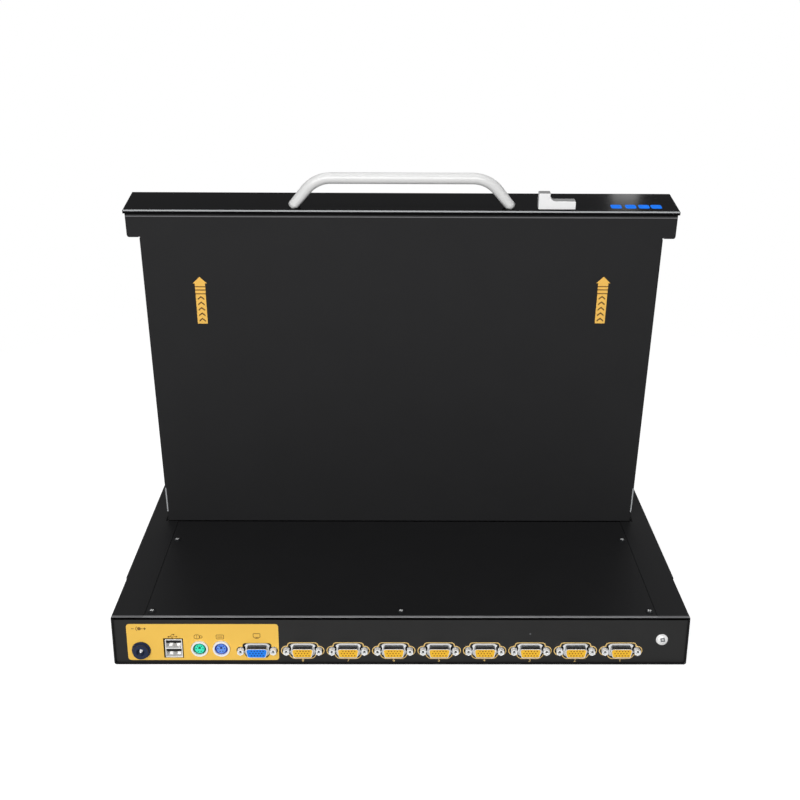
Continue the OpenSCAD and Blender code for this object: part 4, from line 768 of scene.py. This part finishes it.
screen = [(closed(rounded(-2.6, 2.6, 22.9, 26.2, 0.6)), 0.5),
          ([[-1.6, 21.9], [1.6, 21.9]], 0.5),
          ([[0, 22.9], [0, 21.9]], 0.5)]
drawings = [(dc_x, polarity), (usb_x, data_line), (mouse_x, mouse), (keyboard_x, keyboard),
            (console_x, screen)]
dots = [ring_of(dc_x + 0.6, 30.4, 1.4, 24),
        ring_of(usb_x + 3.6, 23.3, 0.75, 16),
        np.array([[usb_x - 3.4, 23.4], [usb_x - 2.0, 24.3], [usb_x - 2.0, 22.5]]),
        rounded(usb_x - 0.9, usb_x + 0.3, 24.6, 25.8, 0.2),
        ring_of(usb_x - 1.4, 21.6, 0.65, 16)]
stretches = [stretch + [x, 0] for x, strokes in drawings for stroke, width in strokes
             for stretch in drawn_line(stroke, width)]
points, faces = joined([filled([shape], 0.04) for shape in (*stretches, *dots)])
drawn = on_panel(points[:, 0], points[:, 1], 0.13 + points[:, 2])
mesh("label_drawings", drawn, faces, "chassis", ink_brown)
print("drawings of", len(stretches), "stretches and", len(dots), "filled marks")

# %% [markdown]
# ## Pin holes of the video connectors
# Each insert has fifteen holes in three staggered rows, too fine for the CAD part. A pin hole is
# a small dark disc laid just above the insert's face, because its depth can't be seen.

# %% Pin holes of the video connectors
def discs(places, r, out, count=12):
    """Small discs facing +Y at (x, z) places, `out` in front of the panel."""
    grid = np.asarray(places, float)[:, None] + ring_of(0, 0, r, count)[None]
    points = on_panel(grid[..., 0], grid[..., 1], out).reshape(-1, 3)
    return points, np.arange(len(points)).reshape(-1, count)[:, ::-1]


flange_y, insert_height = 230.0, 5.7
insert_out = flange_y + insert_height - panel_y + line_lift
pin_pitch, row_pitch, pin_hole_r = 2.25, 1.98, 0.56
row, column = np.divmod(np.arange(15), 5)
stagger = np.where(row == 1, 0.25, -0.25)
holes = np.column_stack([pin_pitch * (column - 2 + stagger), row_pitch * (1 - row)])
parts = [discs(holes + [x, port_z], pin_hole_r, insert_out) for x in port_x]
mesh("port_pin_holes", *joined(parts), "chassis", amber_hole)
console_holes = discs(holes + [console_x, port_z], pin_hole_r, insert_out)
mesh("console_pin_holes", *console_holes, "chassis", blue_hole)
print(len(holes), "holes in each of", len(port_x) + 1, "connectors")

# %% [markdown]
# ## Round sockets
# Mouse and keyboard share one form of socket: a groove round the core, six pin holes and a slot
# for the plug's key. The groove's floor and the holes get darker tones of the socket's own nylon, as
# painted shade where little light gets in.

# %% Round sockets
din_face = 1.6 - 0.7 + line_lift
groove_depth = 1.1
din_pins = np.array([(-1.5, 2.3), (1.5, 2.3), (-2.6, 0.2), (2.6, 0.2), (-1.1, -2.2), (1.1, -2.2)])
# The two colours are painted shade: the groove floor, then the pin holes and the key slot.
for name, x, dark, deep in (("mouse", mouse_x, "#0a6b4e", "#063526"),
                            ("keyboard", keyboard_x, "#1a2f9a", "#0a1238")):
    shade = finish(name + "_groove_painted_shade", dark, 0.5, mottle=0.15, mottle_mm=2, grain_mm=0.2)
    hole = finish(name + "_pin_hole_shadow", deep, 0.7, mottle=0.3, mottle_mm=1, grain_mm=0.2)
    points, faces = filled([ring_of(x, din_z, 5.05), ring_of(x, din_z, 3.75)])
    groove = on_panel(points[:, 0], points[:, 1], din_face - groove_depth + points[:, 2])
    mesh(name + "_groove", groove, faces, "chassis", shade)
    points, faces = filled([rounded(x - 0.85, x + 0.85, din_z + 0.1, din_z + 1.5, 0.1)], 0.04)
    slot = (on_panel(points[:, 0], points[:, 1], din_face + points[:, 2]), faces)
    pins = discs(din_pins + [x, din_z], 0.45, din_face)
    mesh(name + "_pin_holes", *joined([pins, slot]), "chassis", hole)
print("two round sockets with", len(din_pins), "pin holes each")

# %% [markdown]
# ## Power pin
# A silvered pin stands in the middle of the power socket. A real one can be turned from wire, so
# here too it is a profile carried round an axis: a straight side, then a quarter circle to the
# tip.

# %% Power pin
pin_r, pin_side, pin_sides = 1.12, 8.1, 24
pin_foot = panel_y - 6
t = np.linspace(0, math.pi / 2, 7)
nose = np.column_stack([pin_side + pin_r * np.sin(t), pin_r * np.cos(t)])
profile = np.concatenate([[[0, pin_r]], nose])
along, reach = profile[:, 0, None], profile[:, 1, None]
turn = np.arange(pin_sides) * 2 * math.pi / pin_sides
grid = np.stack([dc_x + reach * np.cos(turn), pin_foot + along + 0 * turn,
                 dc_z + reach * np.sin(turn)], -1)
faces = tube_faces(len(profile), pin_sides)[:, [0, 3, 2, 1]]
mesh("power_pin", grid.reshape(-1, 3), faces, "chassis", silver_with_painted_glint, smooth=True)
print("a power pin of", len(profile), "rings")

# %% [markdown]
# ## Data sockets
# Each of the two stacked sockets has four contacts under its tongue and two springs in its floor,
# bent from strip. A spring is bowed as half a sine wave, so that it presses on the plug. A black
# line round the shell paints in the shade of the gap to the panel.

# %% Data sockets
spring_y = np.linspace(223.8, 228.2, 9)
spring_bow = 1.5 * np.sin((spring_y - 223.8) / 4.4 * math.pi)
contacts, springs = [], []
for cell_z in (6.2, 13.7):
    for x in usb_x - 3.5 + np.arange(4) * 7 / 3:
        rails = [[[end, y, cell_z + 4.3 - line_lift] for y in (223.6, 230.4)] for end in (x - 0.5, x + 0.5)]
        contacts.append(band(*rails))
    for x in (usb_x - 3.0, usb_x + 3.0):
        rails = [np.column_stack([np.full(9, end), spring_y, cell_z + 0.1 + spring_bow])
                 for end in (x + 1.0, x - 1.0)]
        springs.append(band(*rails))
mesh("data_contacts", *joined(contacts), "chassis", brass)
# The springs' silver carries the same painted glow highlight.
mesh("data_springs", *joined(springs), "chassis", silver_with_painted_glint, smooth=True)

# A black ring of painted shade round the shell.
points, faces = filled([rounded(usb_x - 7.4, usb_x + 8.1, 4.7, 22.2, 0.3),
                        rounded(usb_x - 6.6, usb_x + 6.6, 6.0, 20.9, 0.3)], 0.03)
gap = on_panel(points[:, 0], points[:, 1], 0.02 + points[:, 2])
mesh("data_socket_gap_painted_shade", gap, faces, "chassis", painted_shade_black)
print(len(contacts), "contacts and", len(springs), "springs")

# %% [markdown]
# ## Jackscrews
# A jackscrew is a hexagonal post with a threaded bore, whose shade is painted as a dark dot. Round its
# foot the flange lies in shadow, painted as a dark disc. One small bare dimple shows on the panel above
# port number three.

# %% Jackscrews
nut_out = corners_of("jackscrews")[:, 1].max() - panel_y + line_lift
screws = [(x + side * screw_x, port_z + 0.9) for x in (console_x, *port_x) for side in (-1, 1)]
mesh("panel_pin_mark", *discs([(-98.9, 26.0)], 0.7, 0.05, 16), "chassis", bare_dimple)
# Painted shade: dark discs round the jackscrews' feet and in their bores.
mesh("jackscrew_recess_shadows", *discs(screws, 3.6, -1.17, 24), "chassis", painted_shade_black)
mesh("jackscrew_bore_painted_shade", *discs(screws, 0.8, nut_out, 20), "chassis", painted_shade_black)
print(len(screws), "jackscrews")

# %% [markdown]
# ## Cover screws
# Each has a cross recess, of which only the bright edges show from afar; a pale cross laid on each head
# paints them in as a painted highlight. The heads are found in the CAD node itself: its highest points,
# gathered by squares of 15 mm.

# %% Cover screws
corners = corners_of("cover_screws")
top = corners[corners[:, 2] > corners[:, 2].max() - 0.01]
square_of = np.round(top[:, :2] / 15)
spots = [top[(square_of == square).all(1)].mean(0) for square in np.unique(square_of, axis=0)]
slot = rounded(-1.5, 1.5, -0.5, 0.5, 0.2)
parts = []
for spot in spots:
    for turned in (0.5, 0.5 + math.pi / 2):
        spin = np.array([[math.cos(turned), math.sin(turned)], [-math.sin(turned), math.cos(turned)]])
        points, faces = filled([slot @ spin], 0.03)
        parts.append((points + spot + [0, 0, 0.02], faces))
# Painted highlight: pale crosses on the dark heads.
mesh("cover_screw_painted_highlights", *joined(parts), "chassis", satin_nickel)
print("cover screws at", [tuple(np.round(spot, 1).tolist()) for spot in spots])

# %% [markdown]
# ## Ground screw
# The ground screw's recess is a turned square, and only its plated rim catches the light.

# %% Ground screw
corners = corners_of("ground_screw")
middle = (corners.min(0) + corners.max(0)) / 2
ground_out = corners[:, 1].max() - panel_y + line_lift
square = np.array([[-2.0, -1.3], [1.3, -2.0], [2.0, 1.3], [-1.3, 2.0]])
points, faces = filled([square, square * 0.45], 0.02)
recess = on_panel(middle[0] + points[:, 0], middle[2] + 1.2 + points[:, 1], ground_out + points[:, 2])
mesh("ground_screw_recess", recess, faces, "chassis", zinc)
print("ground screw at", np.round(middle, 1).tolist())

# %% [markdown]
# ## Key legends
# White legends are printed near each key's rear left corner. The keys' places follow the same
# table of widths, in key spacings, as the CAD part. A row is told by its first share, its number,
# its widths and its words. The legends of a group move with its keys.

# %% Key legends
key_top = 23.5
key_pitch = 19.05
keys_left = -183.35
keys_back = 11.0
row_gap = 4.0
from_left, from_back = 4.6, 6.2


def key_legends(name, body, rows, height=2.6):
    """One mesh of legends from rows of (first share, row number, widths, words)."""
    parts = []
    for start, row, widths, words in rows:
        y = keys_back - row * key_pitch - (row_gap if row else 0) - from_back
        x = keys_left + start * key_pitch
        for width, word in zip(widths, words):
            is_short = len(word) < 3
            points, faces = lettering(word, height if is_short else height * 0.75)
            at_corner = x + from_left - points[:, 0].min()
            in_middle = x + width * key_pitch / 2
            place = at_corner if width > 1.2 or is_short else in_middle
            parts.append((points + [place, y, key_top + print_lift], faces))
            x += width * key_pitch
    return mesh(name, *joined(parts), body, ink_white)


function_starts = [0, 2, 3, 4, 5, 6.5, 7.5, 8.5, 9.5, 11, 12, 13, 14]
function_words = ["Esc"] + ["F%d" % k for k in range(1, 13)]
function_rows = [(start, 0, [1], [word]) for start, word in zip(function_starts, function_words)]
key_legends("function_legends", "function_keys",
            function_rows + [(15.25, 0, [1] * 4, ["Ins", "Del", "PgU", "PgD"])])
key_legends("number_legends", "number_keys", [(0, 1, [1] * 13 + [2], [*"`1234567890-=", "Back"])])
key_legends("letter_legends", "letter_keys", [
    (0, 2, [1.5] + [1] * 12 + [1.5], ["Tab", *"QWERTYUIOP[]", "\\"]),
    (0, 3, [1.75] + [1] * 11 + [2.25], ["Caps", *"ASDFGHJKL;'", "Enter"]),
    (0, 4, [2.25] + [1] * 10 + [2.75], ["Shift", *"ZXCVBNM,./", "Shift"])])
key_legends("modifier_legends", "modifier_keys", [
    (0, 5, [1.25] * 3, ["Ctrl", "Fn", "Alt"]),
    (10, 5, [1.25] * 4, ["Alt", "Fn", "Menu", "Ctrl"])])
key_legends("number_pad_legends", "number_pad_keys", [
    (15.25, 1, [1] * 4, ["Num", "/", "*", "-"]),
    (15.25, 2, [1] * 4, [*"789+"]),
    (15.25, 3, [1] * 3, [*"456"]),
    (15.25, 4, [1] * 4, [*"123="]),
    (15.25, 5, [2, 1, 1], [*"0.,"])])
print("legends on five groups of keys")

# %% [markdown]
# ## Port lamps on the deck
# Eight small lamps behind the keys tell which computer is chosen. Each lens is a flat dome:
# circles that shrink with the cosine while they rise with the sine. The numbers are printed in
# front of them.

# %% Port lamps on the deck
deck_z = 20.5
lamp_x = -60 + 14 * np.arange(8)
lamp_y, lamp_number_y = 27, 21.5
lamp_r, lamp_rise, lamp_rings, lamp_sides = 1.5, 0.8, 5, 16
climb = np.linspace(0, math.pi / 2, lamp_rings)[:, None]
turn = np.arange(lamp_sides) * 2 * math.pi / lamp_sides
dome = np.stack([lamp_r * np.cos(climb) * np.cos(turn), lamp_r * np.cos(climb) * np.sin(turn),
                 lamp_rise * np.sin(climb) + 0 * turn], -1).reshape(-1, 3)
lenses = [(dome + [x, lamp_y, deck_z + 0.02], tube_faces(lamp_rings, lamp_sides)) for x in lamp_x]
mesh("port_lamps", *joined(lenses), "drawer", lamp_green, smooth=True)

parts = []
for k, x in enumerate(lamp_x):
    points, faces = lettering(str(k + 1), 2.4)
    parts.append((points + [x, lamp_number_y, deck_z + print_lift], faces))
mesh("port_lamp_numbers", *joined(parts), "drawer", ink_white)
print(len(lamp_x), "port lamps with their numbers")

# %% [markdown]
# ## Floor and sky
# The object stands on a pale floor in a white room. Only the camera sees the white: all other
# rays meet a grey floor and a dim sky, so the object's colours come from the lamps. Near the
# object the floor adds its lit paint to a glow just short of white, so it keeps a faint shadow,
# and further out it fades to plain white.

# %% Floor and sky
def for_camera(tree, kind, others, shown):
    """Send camera rays to the shader `shown` and all others to `others`, ending in an output node."""
    seen = add(tree, "LightPath").outputs["Is Camera Ray"]
    both = add(tree, "MixShader", {0: seen, 1: others.outputs[0], 2: shown.outputs[0]})
    add(tree, kind, {"Surface": both.outputs[0]})


floor_paint = bpy.data.materials.new("white_studio_floor")
tree = empty_tree(floor_paint)
plain = add(tree, "BsdfDiffuse", {"Color": linear("#b4b4b4")})
paint = add(tree, "BsdfDiffuse", {"Color": linear("#d8d8d8")})
lift = add(tree, "Emission", {"Color": linear("#ffffff"), "Strength": 0.68})
near = add(tree, "AddShader", {0: paint.outputs[0], 1: lift.outputs[0]})
away = add(tree, "Emission", {"Color": linear("#ffffff"), "Strength": 1.0})
far = add(tree, "VectorMath", {0: add(tree, "TexCoord").outputs["Object"]}, operation="LENGTH")
fade = add(tree, "MapRange", {"Value": far.outputs["Value"], "From Min": 0.35, "From Max": 0.75})
ground = add(tree, "MixShader", {0: fade.outputs[0], 1: near.outputs[0], 2: away.outputs[0]})
for_camera(tree, "OutputMaterial", plain, ground)

size = 40.0
data = bpy.data.meshes.new("studio_floor")
data.from_pydata([(-size, -size, 0), (size, -size, 0), (size, size, 0), (-size, size, 0)], [],
                 [(0, 1, 2, 3)])
data.materials.append(floor_paint)
floor = bpy.data.objects.new("studio_floor", data)
bpy.context.scene.collection.objects.link(floor)
floor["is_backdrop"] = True

world = bpy.data.worlds.new("studio")
bpy.context.scene.world = world
tree = empty_tree(world)
dim = add(tree, "Background", {"Color": linear("#ececee"), "Strength": 0.22})
white = add(tree, "Background", {"Color": linear("#ffffff"), "Strength": 1.0})
for_camera(tree, "OutputWorld", dim, white)
print("the floor and the sky are up")

# %% [markdown]
# ## Lights
# A large key behind the camera lights the lid's back and the port panel evenly. A long light
# overhead draws the folded edges, and a fill on the other side keeps the keyboard from going
# black. A very small light stands where the bezel mirrors it as a soft spot.

# %% Lights
def soft_light(name, place, aim, wide, tall, power):
    """A rectangle of light at a place, facing an aim, both in metres.

    Back is the way from aim to place, right is square to back and to the vertical, and up is
    their cross product. The three together are the light's turn."""
    data = bpy.data.lights.new(name, "AREA")
    data.shape = "RECTANGLE"
    data.size = wide
    data.size_y = tall
    data.energy = power
    back = np.subtract(place, aim).astype(float)
    back /= np.linalg.norm(back)
    right = np.cross([0, 0, 1], back)
    right /= np.linalg.norm(right)
    turn = np.column_stack([right, np.cross(back, right), back])
    made = bpy.data.objects.new(name, data)
    made.matrix_world = Matrix.Translation(place) @ Matrix(turn.tolist()).to_4x4()
    bpy.context.scene.collection.objects.link(made)
    return made


soft_light("key", (0.35, 2.3, 1.15), (0, 0.1, 0.15), 2.2, 1.4, 50)
soft_light("overhead", (0.0, 0.45, 1.9), (0, 0.15, 0), 1.8, 0.30, 6)
soft_light("front_fill", (0.0, -1.3, 2.1), (0, -0.05, 0.1), 1.6, 1.0, 10)
soft_light("bezel_glow", (-0.45, -1.2, 0.95), (-0.19, 0.1, 0.33), 0.05, 0.10, 0.065)
print("four lights")

# %% [markdown]
# ## Camera
# The camera stands behind the object and looks down on it, where the photograph was taken from.
# Its place, lens and angles come from fitting the object's known corners to the picture. The fit
# looks along +Y, so its axes are turned by half a turn round the vertical at the end.

# %% Camera
pitch, yaw, roll = np.radians([20.521, 0.533, -0.32])
ahead = np.array([np.sin(yaw) * np.cos(pitch), np.cos(yaw) * np.cos(pitch), -np.sin(pitch)])
right = np.array([np.cos(yaw), -np.sin(yaw), 0])
down = np.cross(ahead, right)
c, s = math.cos(roll), math.sin(roll)
right, down = c * right + s * down, -s * right + c * down
turn = np.column_stack([right, -down, -ahead]) * [[-1], [-1], [1]]
eye = bpy.data.cameras.new("photo_view")
eye.sensor_width = 36
eye.lens = 55.153
eye.clip_start = 0.01
eye.clip_end = 100
camera = bpy.data.objects.new("photo_view", eye)
camera.matrix_world = Matrix.Translation((0.00934, 1.04563, 0.52165)) @ Matrix(turn.tolist()).to_4x4()
bpy.context.scene.collection.objects.link(camera)
bpy.context.scene.camera = camera
bpy.context.scene.view_settings.view_transform = "Standard"
print("the camera looks down by", round(math.degrees(pitch), 1), "degrees")

# %% [markdown]
# ## Sizes and end
# The box round everything is measured once more.

# %% Sizes and end
low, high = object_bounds()
